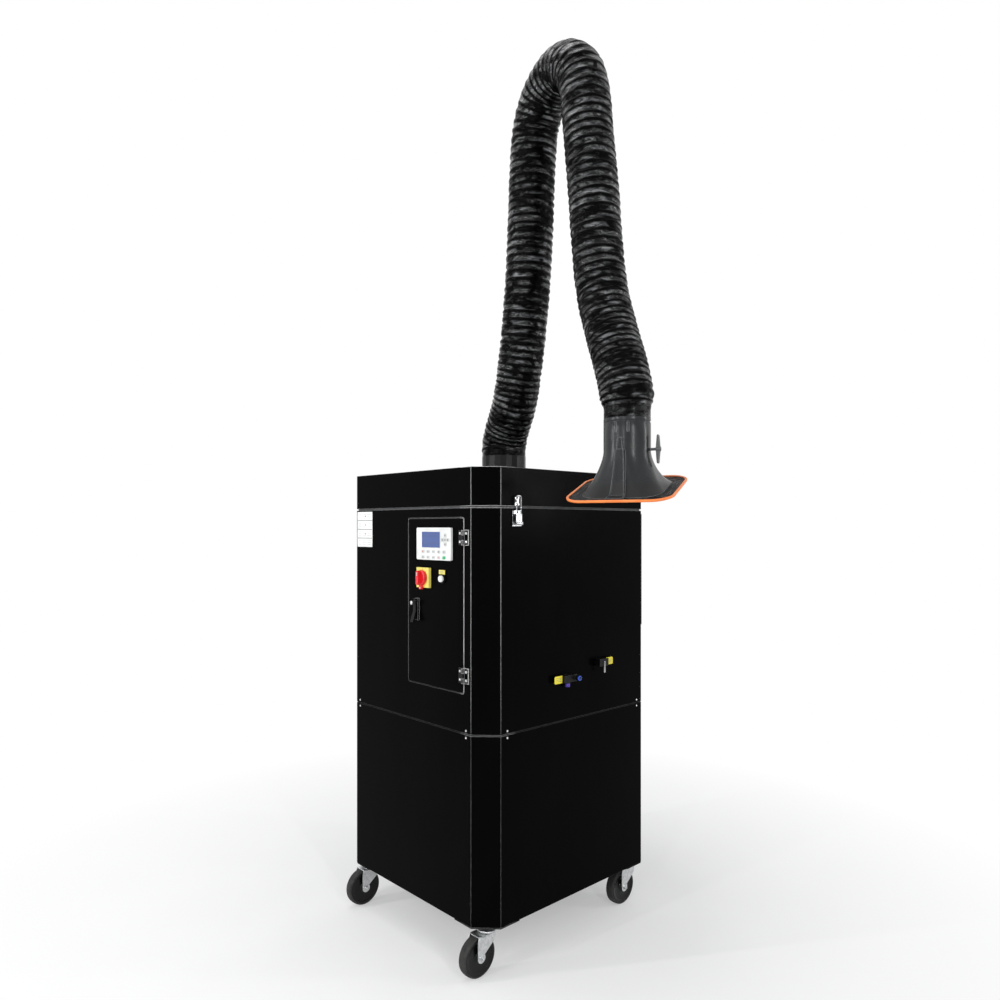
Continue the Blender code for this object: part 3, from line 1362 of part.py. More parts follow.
def fan_motor():
    """Flanged motor under the scroll, finned, with its terminal box and a bore for the shaft."""
    top = SCROLL_LOW - GAP
    flange = solid((
        rod, (0, FAN_Y, top - MOTOR_FLANGE_THICKNESS), (0, FAN_Y, top), MOTOR_FLANGE, 24,
    ))
    count = 2 * FIN_COUNT
    outline = []
    for index in range(2 * count):
        angle = math.pi * index / count
        radius = MOTOR_RADIUS if index % 4 < 2 else MOTOR_RADIUS - FIN_DEPTH
        outline.append((radius * math.cos(angle), FAN_Y + radius * math.sin(angle)))
    low = top - MOTOR_FLANGE_THICKNESS - MOTOR_LENGTH
    body = solid((prism, outline, "Z", low, top - MOTOR_FLANGE_THICKNESS / 2))
    terminal = solid((
        box, (MOTOR_RADIUS - FIN_DEPTH * 2, FAN_Y - MOTOR_RADIUS / 2, low + MOTOR_LENGTH * 0.45),
        (MOTOR_RADIUS * 1.5, FAN_Y + MOTOR_RADIUS / 2, low + MOTOR_LENGTH * 0.85),
    ))
    bore = solid((
        rod, (0, FAN_Y, top - MOTOR_BORE_DEPTH), (0, FAN_Y, top + CUT_OVERRUN),
        bore_radius(SHAFT_RADIUS, 16), 16,
    ))
    return piece("fan_motor", flange, motor_paint(), joins=[body, terminal], cuts=[bore])


def cable_gland():
    """Gland for the mains lead, clamped through the lower rear wall, with its bore."""
    inner = SHEET + GAP
    bore = GLAND_BORE
    rim = 1.35 * GLAND_RADIUS
    nut = GLAND_RADIUS / 2
    profile = (
        (bore, -inner - nut), (rim, -inner - nut), (rim, -inner), (GLAND_RADIUS, -inner),
        (GLAND_RADIUS, GAP), (rim, GAP), (rim, nut), (GLAND_RADIUS, nut + GAP),
        (GLAND_RADIUS * 0.7, 3 * nut), (bore, 3 * nut),
    )
    centre = Vector((GLAND_X, REAR, LOWER_BASE + GLAND_HEIGHT))
    bm = solid((turned, profile, 10, centre, Vector((0, 1, 0)), True))
    return piece("cable_gland", bm, black_plastic(), smooth_deg=35)


# Dust drawer and service door at the rear

def drawer_bottom():
    return LOWER_BASE + DRAWER_LOW


def drawer_runners():
    """Two angles on the deck with a cross strip, which carry and guide the dust drawer."""
    plates, guards = bmesh.new(), bmesh.new()
    near = REAR - DRAWER_DEPTH
    far = REAR - BEND_FLANGE - GAP
    half = DRAWER_WIDTH / 2
    low, high = DECK_TOP + GAP, drawer_bottom() - GAP
    strip = solid((box, (-half, near, low), (half, near + RUNNER_WIDTH, low + SHEET)))
    for side in (-1, 1):
        inner, outer = side * (half - RUNNER_WIDTH), side * (half + GAP + SHEET)
        box(plates, (min(inner, outer), near, low), (max(inner, outer), far, high))
        inner = side * (half + 2 * GAP)
        box(guards, (min(inner, outer), near, high - SHEET), (max(inner, outer), far, high + RUNNER_GUARD))
    return piece("drawer_runners", plates, galvanised(), joins=[strip, guards])


def dust_drawer(joint):
    """Open tray with a front panel that laps the rear face, and a bar pull."""
    half = DRAWER_WIDTH / 2
    low = drawer_bottom()
    high = low + DRAWER_HEIGHT
    near, far = REAR - DRAWER_DEPTH, REAR + GAP + SHEET / 2
    rings = []
    for inset, z in ((0, low), (0, high), (DRAWER_SHEET, high), (DRAWER_SHEET, low + DRAWER_SHEET)):
        rings.append([
            (-half + inset, near + inset, z), (half - inset, near + inset, z),
            (half - inset, far - inset, z), (-half + inset, far - inset, z),
        ])
    lap = DRAWER_FRONT_LAP
    panel, pull = bmesh.new(), bmesh.new()
    face = REAR + GAP + SHEET
    box(panel, (-half - lap, REAR + GAP, low - lap), (half + lap, face, high + lap))
    middle = (low + high) / 2
    end = PULL_LENGTH / 2
    bend = PULL_RADIUS
    bent_rod(pull, (
        (-end, face - SHEET / 2, middle), (-end, face + PULL_RISE - bend, middle),
        (-end + bend, face + PULL_RISE, middle), (end - bend, face + PULL_RISE, middle),
        (end, face + PULL_RISE - bend, middle), (end, face - SHEET / 2, middle),
    ), PULL_RADIUS, 8)
    return piece("dust_drawer", solid((stack, rings)), black_paint(), joint, joins=[panel, pull])


def wrap_outline(near, far, start):
    """A bent strip round the rear: two offsets from the faces, and the distance where it starts."""
    root = math.sqrt(2)
    corner = Vector((-HALF_WIDTH, HALF_DEPTH - CORNER_CHAMFER))
    along, out = Vector((1, 1)) / root, Vector((-1, 1)) / root
    left, back = [], []
    for offset, strip in ((near, left), (far, back)):
        mitre = offset * math.tan(math.radians(22.5))
        strip.append(corner + start * along + offset * out)
        strip.append(Vector((-HALF_WIDTH + CORNER_CHAMFER - mitre, HALF_DEPTH + offset)))
    mirror = [Vector((-point.x, point.y)) for point in reversed(left)]
    mirror += [Vector((-point.x, point.y)) for point in back]
    return [(point.x, point.y) for point in left + mirror + list(reversed(back))]


def service_door(joint):
    """Bent door over the rear and both rear chamfers, with its hinge knuckles."""
    low, high = LOWER_BASE + SERVICE_LOW, LOWER_BASE + SERVICE_TOP
    near, far = SERVICE_STANDOFF, SERVICE_STANDOFF + SHEET
    start = SERVICE_KNUCKLE - SERVICE_HINGE_OUT * math.sin(math.radians(22.5)) + 3 * SERVICE_STANDOFF
    door = solid((prism, wrap_outline(near, far, start), "Z", low, high))
    tongues, knuckles = bmesh.new(), bmesh.new()
    axis = service_hinge_axis()
    root = math.sqrt(2)
    along, out = Vector((1, 1, 0)) / root, Vector((-1, 1, 0)) / root
    corner = Vector((-HALF_WIDTH, HALF_DEPTH - CORNER_CHAMFER, 0))
    for foot, head in service_knuckle_spans((1,)):
        pipe(knuckles, at_height(axis, foot), at_height(axis, head), SERVICE_KNUCKLE,
             bore_radius(HINGE_PIN, 8), 8)
        reach = [corner + share * along + offset * out for share, offset in (
            (0, near), (start + SHEET, near), (start + SHEET, far), (0, far),
        )]
        prism(tongues, [(point.x, point.y) for point in reach], "Z", foot, head)
    return piece("service_door", door, black_paint(), joint, joins=[tongues, knuckles])


# Toggle latches over the lid seam

def latch_pivot(side):
    return Vector((
        side * (HALF_WIDTH + LATCH_PIVOT_OUT), LATCH_Y, UPPER_TOP - LATCH_DROP + LATCH_PIVOT_RISE,
    ))


def latch_base(label, side):
    """A base plate on the cabinet's side, with two cheeks and the lever's pin."""
    plate, cheeks, pin = bmesh.new(), bmesh.new(), bmesh.new()
    pivot = latch_pivot(side)
    low = UPPER_TOP - LATCH_DROP
    face, out = side * (HALF_WIDTH + GAP), side * (HALF_WIDTH + GAP + LATCH_BASE_THICKNESS)
    half = LATCH_BASE[0] / 2
    box(plate, (min(face, out), LATCH_Y - half, low), (max(face, out), LATCH_Y + half, low + LATCH_BASE[1]))
    base = side * (HALF_WIDTH + GAP + LATCH_BASE_THICKNESS / 2)
    rise = 2 * LATCH_WIRE
    tip = pivot.x + side * rise
    for hand in (-1, 1):
        inner = LATCH_Y + hand * (LATCH_LEVER_WIDTH / 2 + GAP)
        outer = inner + hand * LATCH_BASE_THICKNESS
        box(cheeks, (min(base, tip), min(inner, outer), pivot.z - rise),
            (max(base, tip), max(inner, outer), pivot.z + rise))
    reach = Vector((0, LATCH_LEVER_WIDTH / 2 + GAP + LATCH_BASE_THICKNESS, 0))
    rod(pin, pivot - reach, pivot + reach, LATCH_WIRE, 10)
    return piece(f"latch_base_{label}", plate, chrome(), joins=[cheeks, pin])


def latch_lever(label, side, joint):
    """A lever with its wire bail, which lies before the keeper on the lid."""
    pivot = latch_pivot(side)
    half = LATCH_LEVER_WIDTH / 2
    thick = LATCH_LEVER_THICKNESS / 2
    barrel, plate, bail = bmesh.new(), bmesh.new(), bmesh.new()
    ends = [pivot + Vector((0, hand * half, 0)) for hand in (-1, 1)]
    pipe(barrel, *ends, 2 * LATCH_WIRE, bore_radius(LATCH_WIRE, 10), 10)
    top = pivot.z + LATCH_LEVER_LENGTH
    box(plate, (pivot.x - thick, LATCH_Y - half, pivot.z + 1.5 * LATCH_WIRE),
        (pivot.x + thick, LATCH_Y + half, top))
    wire = LATCH_WIRE
    apart = LATCH_BAIL_WIDTH / 2
    head = LID_LOW + KEEPER_HEIGHT + 2 * wire
    foot = top - wire
    bent_rod(bail, (
        (pivot.x, LATCH_Y - apart, foot), (pivot.x, LATCH_Y - apart, head - wire),
        (pivot.x, LATCH_Y - apart + wire, head), (pivot.x, LATCH_Y + apart - wire, head),
        (pivot.x, LATCH_Y + apart, head - wire), (pivot.x, LATCH_Y + apart, foot),
    ), wire, 8)
    return piece(f"latch_lever_{label}", barrel, chrome(), joint, joins=[plate, bail], smooth_deg=40)


def latch_keeper(label, side, joint):
    """A keeper on the lid's side: a plate with a raised lug."""
    plate, lug = bmesh.new(), bmesh.new()
    face, out = side * (HALF_WIDTH + GAP), side * (HALF_WIDTH + GAP + LATCH_BASE_THICKNESS)
    low = LID_LOW + SHEET
    half = LATCH_BAIL_WIDTH / 2
    box(plate, (min(face, out), LATCH_Y - half, low), (max(face, out), LATCH_Y + half, low + KEEPER_HEIGHT))
    base, tip = side * (HALF_WIDTH + GAP + LATCH_BASE_THICKNESS / 2), side * (HALF_WIDTH + KEEPER_RISE)
    half = KEEPER_WIDTH / 2
    box(lug, (min(base, tip), LATCH_Y - half, low + KEEPER_HEIGHT / 4),
        (max(base, tip), LATCH_Y + half, low + KEEPER_HEIGHT * 0.75))
    return piece(f"latch_keeper_{label}", plate, chrome(), joint, joins=[lug])


# Compressed-air fittings on the right side

def fitting_body(bm, y, height, size):
    centre = LOWER_BASE + height
    face = HALF_WIDTH + GAP
    box(bm, (face, y - size[0] / 2, centre - size[1] / 2),
        (face + FITTING_RISE, y + size[0] / 2, centre + size[1] / 2))


def fitting_nipple(bm, y, height):
    centre = LOWER_BASE + height
    start = (HALF_WIDTH - SHEET - NIPPLE_RADIUS, y, centre)
    rod(bm, start, (HALF_WIDTH + FITTING_RISE / 2, y, centre), NIPPLE_RADIUS, 12)


def fitting_tag(bm, y, centre, hand):
    """A plain tag on a short neck beside a fitting."""
    out = HALF_WIDTH + GAP + FITTING_RISE / 2
    far = y + hand * (TAG_NECK + TAG_SIZE[0])
    box(bm, (out, min(y, far), centre - TAG_SIZE[1] / 2),
        (out + TAG_THICKNESS, max(y, far), centre + TAG_SIZE[1] / 2))


def air_inlet():
    """Inlet block with its outward port, the port below and its tag."""
    body, nipple, ports, tag = [bmesh.new() for _ in range(4)]
    fitting_body(body, INLET_Y, INLET_HEIGHT, INLET_BODY)
    fitting_nipple(nipple, INLET_Y, INLET_HEIGHT)
    out = HALF_WIDTH + GAP + FITTING_RISE
    half = HALF_WIDTH + GAP + FITTING_RISE / 2
    centre = LOWER_BASE + INLET_HEIGHT
    port = INLET_Y + (INLET_BODY[0] - PORT_RADIUS) / 2
    rod(ports, (half + PORT_RADIUS, port, centre), (out + 2 * PORT_RADIUS, port, centre), PORT_RADIUS, 12)
    down = INLET_Y - PORT_RADIUS / 2
    below = centre - INLET_BODY[1] / 2
    rod(ports, (half, down, below - 2 * PORT_RADIUS), (half, down, below + TAG_NECK), PORT_RADIUS, 12)
    fitting_tag(tag, INLET_Y - INLET_BODY[0] / 2 + TAG_THICKNESS, centre, -1)
    return piece("air_inlet", body, galvanised(), joins=[nipple, ports, tag], smooth_deg=35)


def drain_valve():
    """Valve block with its tag and the stem's bore."""
    body, nipple, tag = [bmesh.new() for _ in range(3)]
    fitting_body(body, DRAIN_Y, DRAIN_HEIGHT, DRAIN_BODY)
    fitting_nipple(nipple, DRAIN_Y, DRAIN_HEIGHT)
    fitting_tag(tag, DRAIN_Y + DRAIN_BODY[0] / 2 - TAG_THICKNESS, LOWER_BASE + DRAIN_HEIGHT, 1)
    start, end = drain_stem_ends(GAP)
    bore = solid((rod, start, end, bore_radius(DRAIN_STEM, 10), 10))
    return piece("drain_valve", body, brass(), joins=[nipple, tag], cuts=[bore], smooth_deg=35)


def drain_stem_ends(overrun):
    """The drain lever's stem: from inside the valve's body out past its face."""
    face = HALF_WIDTH + GAP + FITTING_RISE
    z = LOWER_BASE + DRAIN_HEIGHT
    return (face - 2 * DRAIN_STEM - overrun, DRAIN_Y, z), (face + DRAIN_STEM + overrun, DRAIN_Y, z)


def drain_lever(joint):
    start, end = drain_stem_ends(0)
    out = HALF_WIDTH + FITTING_RISE + 2 * GAP
    z = LOWER_BASE + DRAIN_HEIGHT
    half = DRAIN_LEVER_WIDTH / 2
    lever = solid((
        box, (out, DRAIN_Y - half, z - DRAIN_LEVER_LENGTH),
        (out + DRAIN_LEVER_THICKNESS, DRAIN_Y + half, z + half),
    ))
    stem = solid((rod, start, end, DRAIN_STEM, 10))
    return piece("drain_lever", lever, chrome(), joint, joins=[stem])


# Lid and duct collar

def lid_box(joint):
    """The lid: closed above, flanged below, with the duct's hole."""
    bm = solid((cabinet_shell, (
        (SHEET, LID_TOP - SHEET), (SHEET, LID_LOW + SHEET), (BEND_FLANGE, LID_LOW + SHEET),
        (BEND_FLANGE, LID_LOW), (0, LID_LOW), (0, LID_TOP),
    )))
    hole = solid((
        rod, DUCT_AXIS + (LID_TOP - SHEET - CUT_OVERRUN) * UP, DUCT_AXIS + (LID_TOP + CUT_OVERRUN) * UP,
        DUCT_RADIUS - DUCT_WALL, 32,
    ))
    tools = [bmesh.new() for _ in range(3)]
    lid_hinge_half(tools, 1, (1,), False)
    return piece("lid_box", bm, black_paint(), joint, joins=tools, cuts=[hole])


def duct_collar(joint):
    inner = DUCT_RADIUS - DUCT_WALL
    profile = (
        (DUCT_FLANGE_RADIUS, GAP), (DUCT_FLANGE_RADIUS, GAP + DUCT_FLANGE_THICKNESS),
        (DUCT_RADIUS, GAP + DUCT_FLANGE_THICKNESS), (DUCT_RADIUS, DUCT_RISE), (inner, DUCT_RISE),
        (inner, GAP),
    )
    bm = solid((turned, profile, 20, arm_point(0, 0), UP, True))
    return piece("duct_collar", bm, black_paint(), joint, smooth_deg=35)


# Suction arm

def arm_plate(bm, outline, side, thickness):
    """A plate in the arm's plane, from (reach, height) points, centred on a side offset."""
    rings = []
    for offset in (-thickness / 2, thickness / 2):
        rings.append([arm_point(reach, height, side + offset) for reach, height in outline])
    stack(bm, rings)


def capsule(start, end, radius, steps=5):
    """Outline of a bar with round ends between two (reach, height) places."""
    base = math.atan2(end[1] - start[1], end[0] - start[0])
    outline = []
    for place, turn in ((end, base - math.pi / 2), (start, base + math.pi / 2)):
        for index in range(steps + 1):
            angle = turn + math.pi * index / steps
            outline.append((place[0] + radius * math.cos(angle), place[1] + radius * math.sin(angle)))
    return outline


def link_side():
    return -(BRACKET_THICKNESS / 2 + BRACKET_CLEARANCE + LINK_THICKNESS / 2)


def rod_side():
    return BRACKET_THICKNESS / 2 + BRACKET_CLEARANCE + ROD_THICKNESS / 2


def paired(pivot, hand):
    """The parallel rod's place beside a main pivot."""
    return pivot[0] + hand * LINK_SPACING, pivot[1]


def pivot_pin(bm, pivot, side, thickness):
    """A pin from the bracket's plane out through a link on the given side."""
    end = side + math.copysign(thickness / 2 + 2 * BRACKET_CLEARANCE, side)
    start = arm_point(*pivot, 0)
    rod(bm, start, arm_point(*pivot, end), PIVOT_PIN, 12)


def arm_link(name, start, end, side, half_width, thickness, joint):
    """A bar between two pivots with a pin hole at each end."""
    bar, holes = bmesh.new(), bmesh.new()
    arm_plate(bar, capsule(start, end, half_width), side, thickness)
    for pivot in (start, end):
        reach = thickness / 2 + CUT_OVERRUN
        rod(holes, arm_point(*pivot, side - reach), arm_point(*pivot, side + reach),
            bore_radius(PIVOT_PIN, 12), 12)
    return piece(name, bar, galvanised(), joint, cuts=[holes])


def bracket_pins(main, other):
    pins = bmesh.new()
    pivot_pin(pins, main, link_side(), LINK_THICKNESS)
    pivot_pin(pins, other, rod_side(), ROD_THICKNESS)
    return pins


def arm_base(joint):
    """Turning sleeve over the duct collar, with a bridge and the post that holds the arm."""
    foot = 2 * GAP + DUCT_FLANGE_THICKNESS
    collar_top = SLEEVE_VISIBLE - GAP
    profile = (
        (SLEEVE_RADIUS, foot), (SLEEVE_RADIUS, collar_top), (SPIGOT_RADIUS, collar_top),
        (SPIGOT_RADIUS, SLEEVE_TOP), (SPIGOT_RADIUS - SLEEVE_WALL, SLEEVE_TOP),
        (SPIGOT_RADIUS - SLEEVE_WALL, SLEEVE_STEP), (SLEEVE_RADIUS - SLEEVE_WALL, SLEEVE_STEP),
        (SLEEVE_RADIUS - SLEEVE_WALL, foot),
    )
    sleeve = solid((turned, profile, 24, arm_point(0, 0), UP, True))
    bridge, post = bmesh.new(), bmesh.new()
    inner = SPIGOT_RADIUS - SLEEVE_WALL / 2
    foot_of_span = SLEEVE_STEP + GAP
    span = (
        (-inner, foot_of_span), (inner, foot_of_span), (inner, SLEEVE_VISIBLE), (-inner, SLEEVE_VISIBLE),
    )
    arm_plate(bridge, span, 0, SLEEVE_BRIDGE)
    low, (reach, height) = (SLEEVE_STEP + SLEEVE_VISIBLE) / 2, LOWER_PIVOT
    right = reach + LINK_SPACING + PIVOT_BOSS
    left = reach - PIVOT_BOSS
    outline = (
        (-LINK_SPACING, low), (LINK_SPACING, low), (reach - ROD_HALF_WIDTH, height - 4 * PIVOT_BOSS),
        (right, height - PIVOT_BOSS / 2), (right, height + PIVOT_BOSS / 2),
        (right - PIVOT_BOSS / 2, height + PIVOT_BOSS), (left + PIVOT_BOSS / 2, height + PIVOT_BOSS),
        (left, height + PIVOT_BOSS / 2), (left, height - 2 * PIVOT_BOSS),
    )
    arm_plate(post, outline, 0, BRACKET_THICKNESS)
    pins = bracket_pins(LOWER_PIVOT, paired(LOWER_PIVOT, 1))
    return piece("arm_base", sleeve, black_paint(), joint, joins=[bridge, post, pins], smooth_deg=35)


def elbow_bracket(joint):
    """Level bracket at the elbow: a plate at each pair of pivots and the tube that joins them."""
    plates, tube = bmesh.new(), bmesh.new()
    pins = [bracket_pins(ELBOW_LOWER_PIVOT, paired(ELBOW_LOWER_PIVOT, 1)),
            bracket_pins(ELBOW_OUTER_PIVOT, paired(ELBOW_OUTER_PIVOT, -1))]
    height = ELBOW_LOWER_PIVOT[1]
    head = height + LINK_SPACING + 2 * ELBOW_TUBE
    foot = height + LINK_SPACING
    over = [place for place in hose_curve() if place[1] > foot]
    for pivot, hand, place in ((ELBOW_LOWER_PIVOT, 1, over[0]), (ELBOW_OUTER_PIVOT, -1, over[-1])):
        ends = sorted((pivot[0] - hand * PIVOT_BOSS, pivot[0] + hand * (LINK_SPACING + PIVOT_BOSS)))
        near = (place[0] - ELBOW_TUBE, place[0] + ELBOW_TUBE)
        outline = (
            (ends[0], height - PIVOT_BOSS / 2), (ends[0] + PIVOT_BOSS / 2, height - PIVOT_BOSS),
            (ends[1] - PIVOT_BOSS / 2, height - PIVOT_BOSS), (ends[1], height - PIVOT_BOSS / 2),
            (ends[1], height + PIVOT_BOSS / 2), (max(near[1], ends[0] + PIVOT_BOSS), head),
            (min(near[0], ends[1] - PIVOT_BOSS), head), (ends[0], height + PIVOT_BOSS / 2),
        )
        arm_plate(plates, outline, 0, BRACKET_THICKNESS)
    step = max(1, len(over) // 10)
    points = [over[0]] + over[step:-step:step] + [over[-1]]
    bent_rod(tube, [arm_point(*place) for place in points], ELBOW_TUBE, 8)
    return piece("elbow_bracket", plates, galvanised(), joint, joins=[tube] + pins, smooth_deg=40)


def wrist_bracket(joint):
    """Plate that carries the hood's turning spindle under the outer arm."""
    reach, height = WRIST_PIVOT
    left, right = reach - LINK_SPACING - PIVOT_BOSS, reach + PIVOT_BOSS
    low = height - 3 * PIVOT_BOSS
    near, far = HOOD_REACH - 2 * SPINDLE_RADIUS, HOOD_REACH + 2 * SPINDLE_RADIUS
    outline = (
        (left, height - PIVOT_BOSS / 2), (near, low), (far, low), (far, height - PIVOT_BOSS),
        (right, height + PIVOT_BOSS / 2), (right - PIVOT_BOSS / 2, height + PIVOT_BOSS),
        (left + PIVOT_BOSS / 2, height + PIVOT_BOSS), (left, height + PIVOT_BOSS / 2),
    )
    plate, spindle = bmesh.new(), bmesh.new()
    arm_plate(plate, outline, 0, BRACKET_THICKNESS)
    hub_low = HOOD_PIVOT - GIMBAL_HEIGHT / 2 - GAP
    hub_high = HOOD_PIVOT + GIMBAL_HEIGHT / 2 + GAP
    profile = (
        (SPINDLE_HEAD, hub_low - SPINDLE_HEAD_HEIGHT), (SPINDLE_HEAD, hub_low),
        (SPINDLE_RADIUS, hub_low), (SPINDLE_RADIUS, hub_high), (SPINDLE_HEAD, hub_high),
        (SPINDLE_HEAD, hub_high + SPINDLE_HEAD_HEIGHT), (SPINDLE_RADIUS, hub_high + SPINDLE_HEAD_HEIGHT),
        (SPINDLE_RADIUS, low + PIVOT_BOSS),
    )
    turned(spindle, profile, 12, arm_point(HOOD_REACH, 0))
    pins = bracket_pins(WRIST_PIVOT, paired(WRIST_PIVOT, -1))
    return piece("wrist_bracket", plate, galvanised(), joint, joins=[spindle, pins], smooth_deg=35)


def hood_gimbal(joint):
    """Hub that turns on the spindle, with a cross-bar whose pins carry the hood."""
    half = GIMBAL_HEIGHT / 2
    inside = NECK_RADIUS - HOOD_WALL - 2 * BRACKET_CLEARANCE
    bar, hub, pins, bore = [bmesh.new() for _ in range(4)]
    wide = GIMBAL_BAR / 2
    corners = [hood_point(along, far, 0) for along, far in (
        (-inside, -wide), (inside, -wide), (inside, wide), (-inside, wide))]
    base = LID_TOP + HOOD_PIVOT
    prism(bar, [(point.x, point.y) for point in corners], "Z", base - half * 0.8, base + half * 0.8)
    low, high = hood_point(0, 0, HOOD_PIVOT - half), hood_point(0, 0, HOOD_PIVOT + half)
    rod(hub, low, high, GIMBAL_HUB, 16)
    for side in (-1, 1):
        rod(pins, hood_point(side * inside * 0.9, 0, HOOD_PIVOT),
            hood_point(side * (NECK_RADIUS + BRACKET_CLEARANCE), 0, HOOD_PIVOT), GIMBAL_PIN, 12)
    rod(bore, low - CUT_OVERRUN * UP, high + CUT_OVERRUN * UP, bore_radius(SPINDLE_RADIUS, 12), 12)
    return piece("hood_gimbal", bar, galvanised(), joint, joins=[hub, pins], cuts=[bore])


# Hood

def ring_angles(sides):
    return [2 * math.pi * (index + 0.5) / sides for index in range(sides)]


def neck_ring(radius, height):
    return [hood_point(radius * math.cos(a), radius * math.sin(a), height) for a in ring_angles(HOOD_SIDES)]


def flare_size(share):
    """Corner radius, half straights, tilt and height of the flare at a share of its depth."""
    blend = share ** 1.6
    corner = (1 - blend) * NECK_RADIUS + blend * RIM_CORNER
    straights = blend * (RIM_HALF_LENGTH - RIM_CORNER), blend * (RIM_HALF_WIDTH - RIM_CORNER)
    return corner, straights, share * RIM_TILT, (1 - share) * FLARE_START - share * RIM_DROP


def flare_ring(share, inset, rise=0.0):
    """A section of the flare, drawn in by an inset and raised along its own normal."""
    corner, (long, wide), tilt, height = flare_size(share)
    ring = []
    for angle in ring_angles(HOOD_SIDES):
        along = math.copysign(long, math.cos(angle)) + (corner - inset) * math.cos(angle)
        far = math.copysign(wide, math.sin(angle)) + (corner - inset) * math.sin(angle)
        flat = far * math.cos(tilt) - rise * math.sin(tilt)
        lift = far * math.sin(tilt) + rise * math.cos(tilt)
        ring.append(hood_point(along, flat, height + lift))
    return ring


def hood(joint):
    """Thin moulded hood: spigot, neck and a flare to a tilted rounded rectangle, with a fin."""
    top = NECK_STEP - GAP
    shares = [index / FLARE_STEPS for index in range(FLARE_STEPS + 1)]
    rings = [neck_ring(NECK_SPIGOT, NECK_TOP), neck_ring(NECK_SPIGOT, top), neck_ring(NECK_RADIUS, top)]
    rings += [flare_ring(share, 0) for share in shares]
    rings += [flare_ring(share, HOOD_WALL) for share in reversed(shares)]
    rings += [
        neck_ring(NECK_RADIUS - HOOD_WALL, top - HOOD_WALL),
        neck_ring(NECK_SPIGOT - HOOD_WALL, top - HOOD_WALL), neck_ring(NECK_SPIGOT - HOOD_WALL, NECK_TOP),
    ]
    bm = solid((stack, rings, True))
    fin = bmesh.new()
    deep = HOOD_WALL / 2
    places = [(NECK_RADIUS, 0, FIN_TOP, 0)]
    for share in shares[:-1]:
        corner, (_, wide), tilt, height = flare_size(share)
        places.append(((corner + wide) * math.cos(tilt), share, height - (corner + wide) * math.sin(tilt), 1))
    sections = []
    for near, share, height, full in places:
        half = (FIN_TOP_WIDTH + share * (FIN_FOOT_WIDTH - FIN_TOP_WIDTH)) / 2
        proud = near + FIN_RISE * (1 + full) / 2
        sections.append([
            hood_point(-half, -near + deep, height), hood_point(half, -near + deep, height),
            hood_point(half / 2, -proud, height), hood_point(-half / 2, -proud, height),
        ])
    stack(fin, sections)
    holes = bmesh.new()
    reach = NECK_RADIUS + CUT_OVERRUN
    for radius, height in ((GIMBAL_PIN, HOOD_PIVOT), (DAMPER_SHAFT, DAMPER_HEIGHT)):
        rod(holes, hood_point(-reach, 0, height), hood_point(reach, 0, height), bore_radius(radius, 12), 12)
    return piece("hood", bm, hood_plastic(), joint, joins=[fin], cuts=[holes], smooth_deg=35)


def hood_trim(joint):
    """Rubber trim round the hood's rim, with a lip under the edge."""
    out, lip = TRIM_WIDTH / 2, TRIM_HEIGHT / 3
    up = TRIM_HEIGHT - lip
    loop = ((-out, up), (-out, -lip), (HOOD_WALL, -lip), (HOOD_WALL, -GAP), (-GAP, -GAP), (-GAP, up))
    rings = [flare_ring(1, inset, rise) for inset, rise in loop]
    return piece("hood_trim", solid((stack, rings, True)), orange_rubber(), joint, smooth_deg=35)


def damper(joint):
    """Throttle disc on its shaft in the neck, with the bow-tie knob outside."""
    radius = NECK_RADIUS - HOOD_WALL - DAMPER_CLEARANCE
    disc, shaft, knob = bmesh.new(), bmesh.new(), bmesh.new()
    half = DAMPER_DISC / 2
    rod(disc, hood_point(0, -half, DAMPER_HEIGHT), hood_point(0, half, DAMPER_HEIGHT), radius, 28)
    rod(shaft, hood_point(-NECK_RADIUS - half, 0, DAMPER_HEIGHT),
        hood_point(KNOB_REACH, 0, DAMPER_HEIGHT), DAMPER_SHAFT, 12)
    tall, wide = KNOB_LENGTH / 2, KNOB_END_WIDTH / 2
    outline = ((-wide, -tall), (wide, -tall), (KNOB_WAIST, 0), (wide, tall), (-wide, tall), (-KNOB_WAIST, 0))
    stack(knob, [
        [hood_point(KNOB_REACH + offset, far, DAMPER_HEIGHT + up) for far, up in outline]
        for offset in (-KNOB_THICKNESS / 2, KNOB_THICKNESS / 2)
    ])
    return piece("damper", disc, black_plastic(), joint, joins=[shaft, knob], smooth_deg=35)


# Ribbed hose over the arm

def hose_curve():
    """A smooth curve through the route, as (reach, height) places."""
    route = [Vector(place) for place in HOSE_ROUTE]
    ends = [2 * route[0] - route[1]] + route + [2 * route[-1] - route[-2]]
    places = []
    steps = 8
    for before, start, end, after in zip(ends, ends[1:], ends[2:], ends[3:]):
        for index in range(steps):
            t = index / steps
            place = (
                (2 * t ** 3 - 3 * t ** 2 + 1) * start + (t ** 3 - 2 * t ** 2 + t) * (end - before) / 2
                + (3 * t ** 2 - 2 * t ** 3) * end + (t ** 3 - t ** 2) * (after - start) / 2
            )
            places.append((place.x, place.y))
    places.append(tuple(route[-1]))
    return places


def hose_stations():
    """Centre, distance and tangent at every half pitch, from the sleeve to the hood's neck."""
    points = [arm_point(*place) for place in hose_curve()]
    runs = [0.0]
    for start, end in zip(points, points[1:]):
        runs.append(runs[-1] + (end - start).length)
    total = runs[-1]
    count = 2 * round(total / HOSE_PITCH)
    stations = []
    span = 0
    for index in range(count + 1):
        distance = total * index / count
        while span < len(points) - 2 and runs[span + 1] < distance:
            span += 1
        share = (distance - runs[span]) / (runs[span + 1] - runs[span])
        tangent = (points[span + 1] - points[span]).normalized()
        stations.append((points[span].lerp(points[span + 1], share), distance, tangent))
    return stations, total


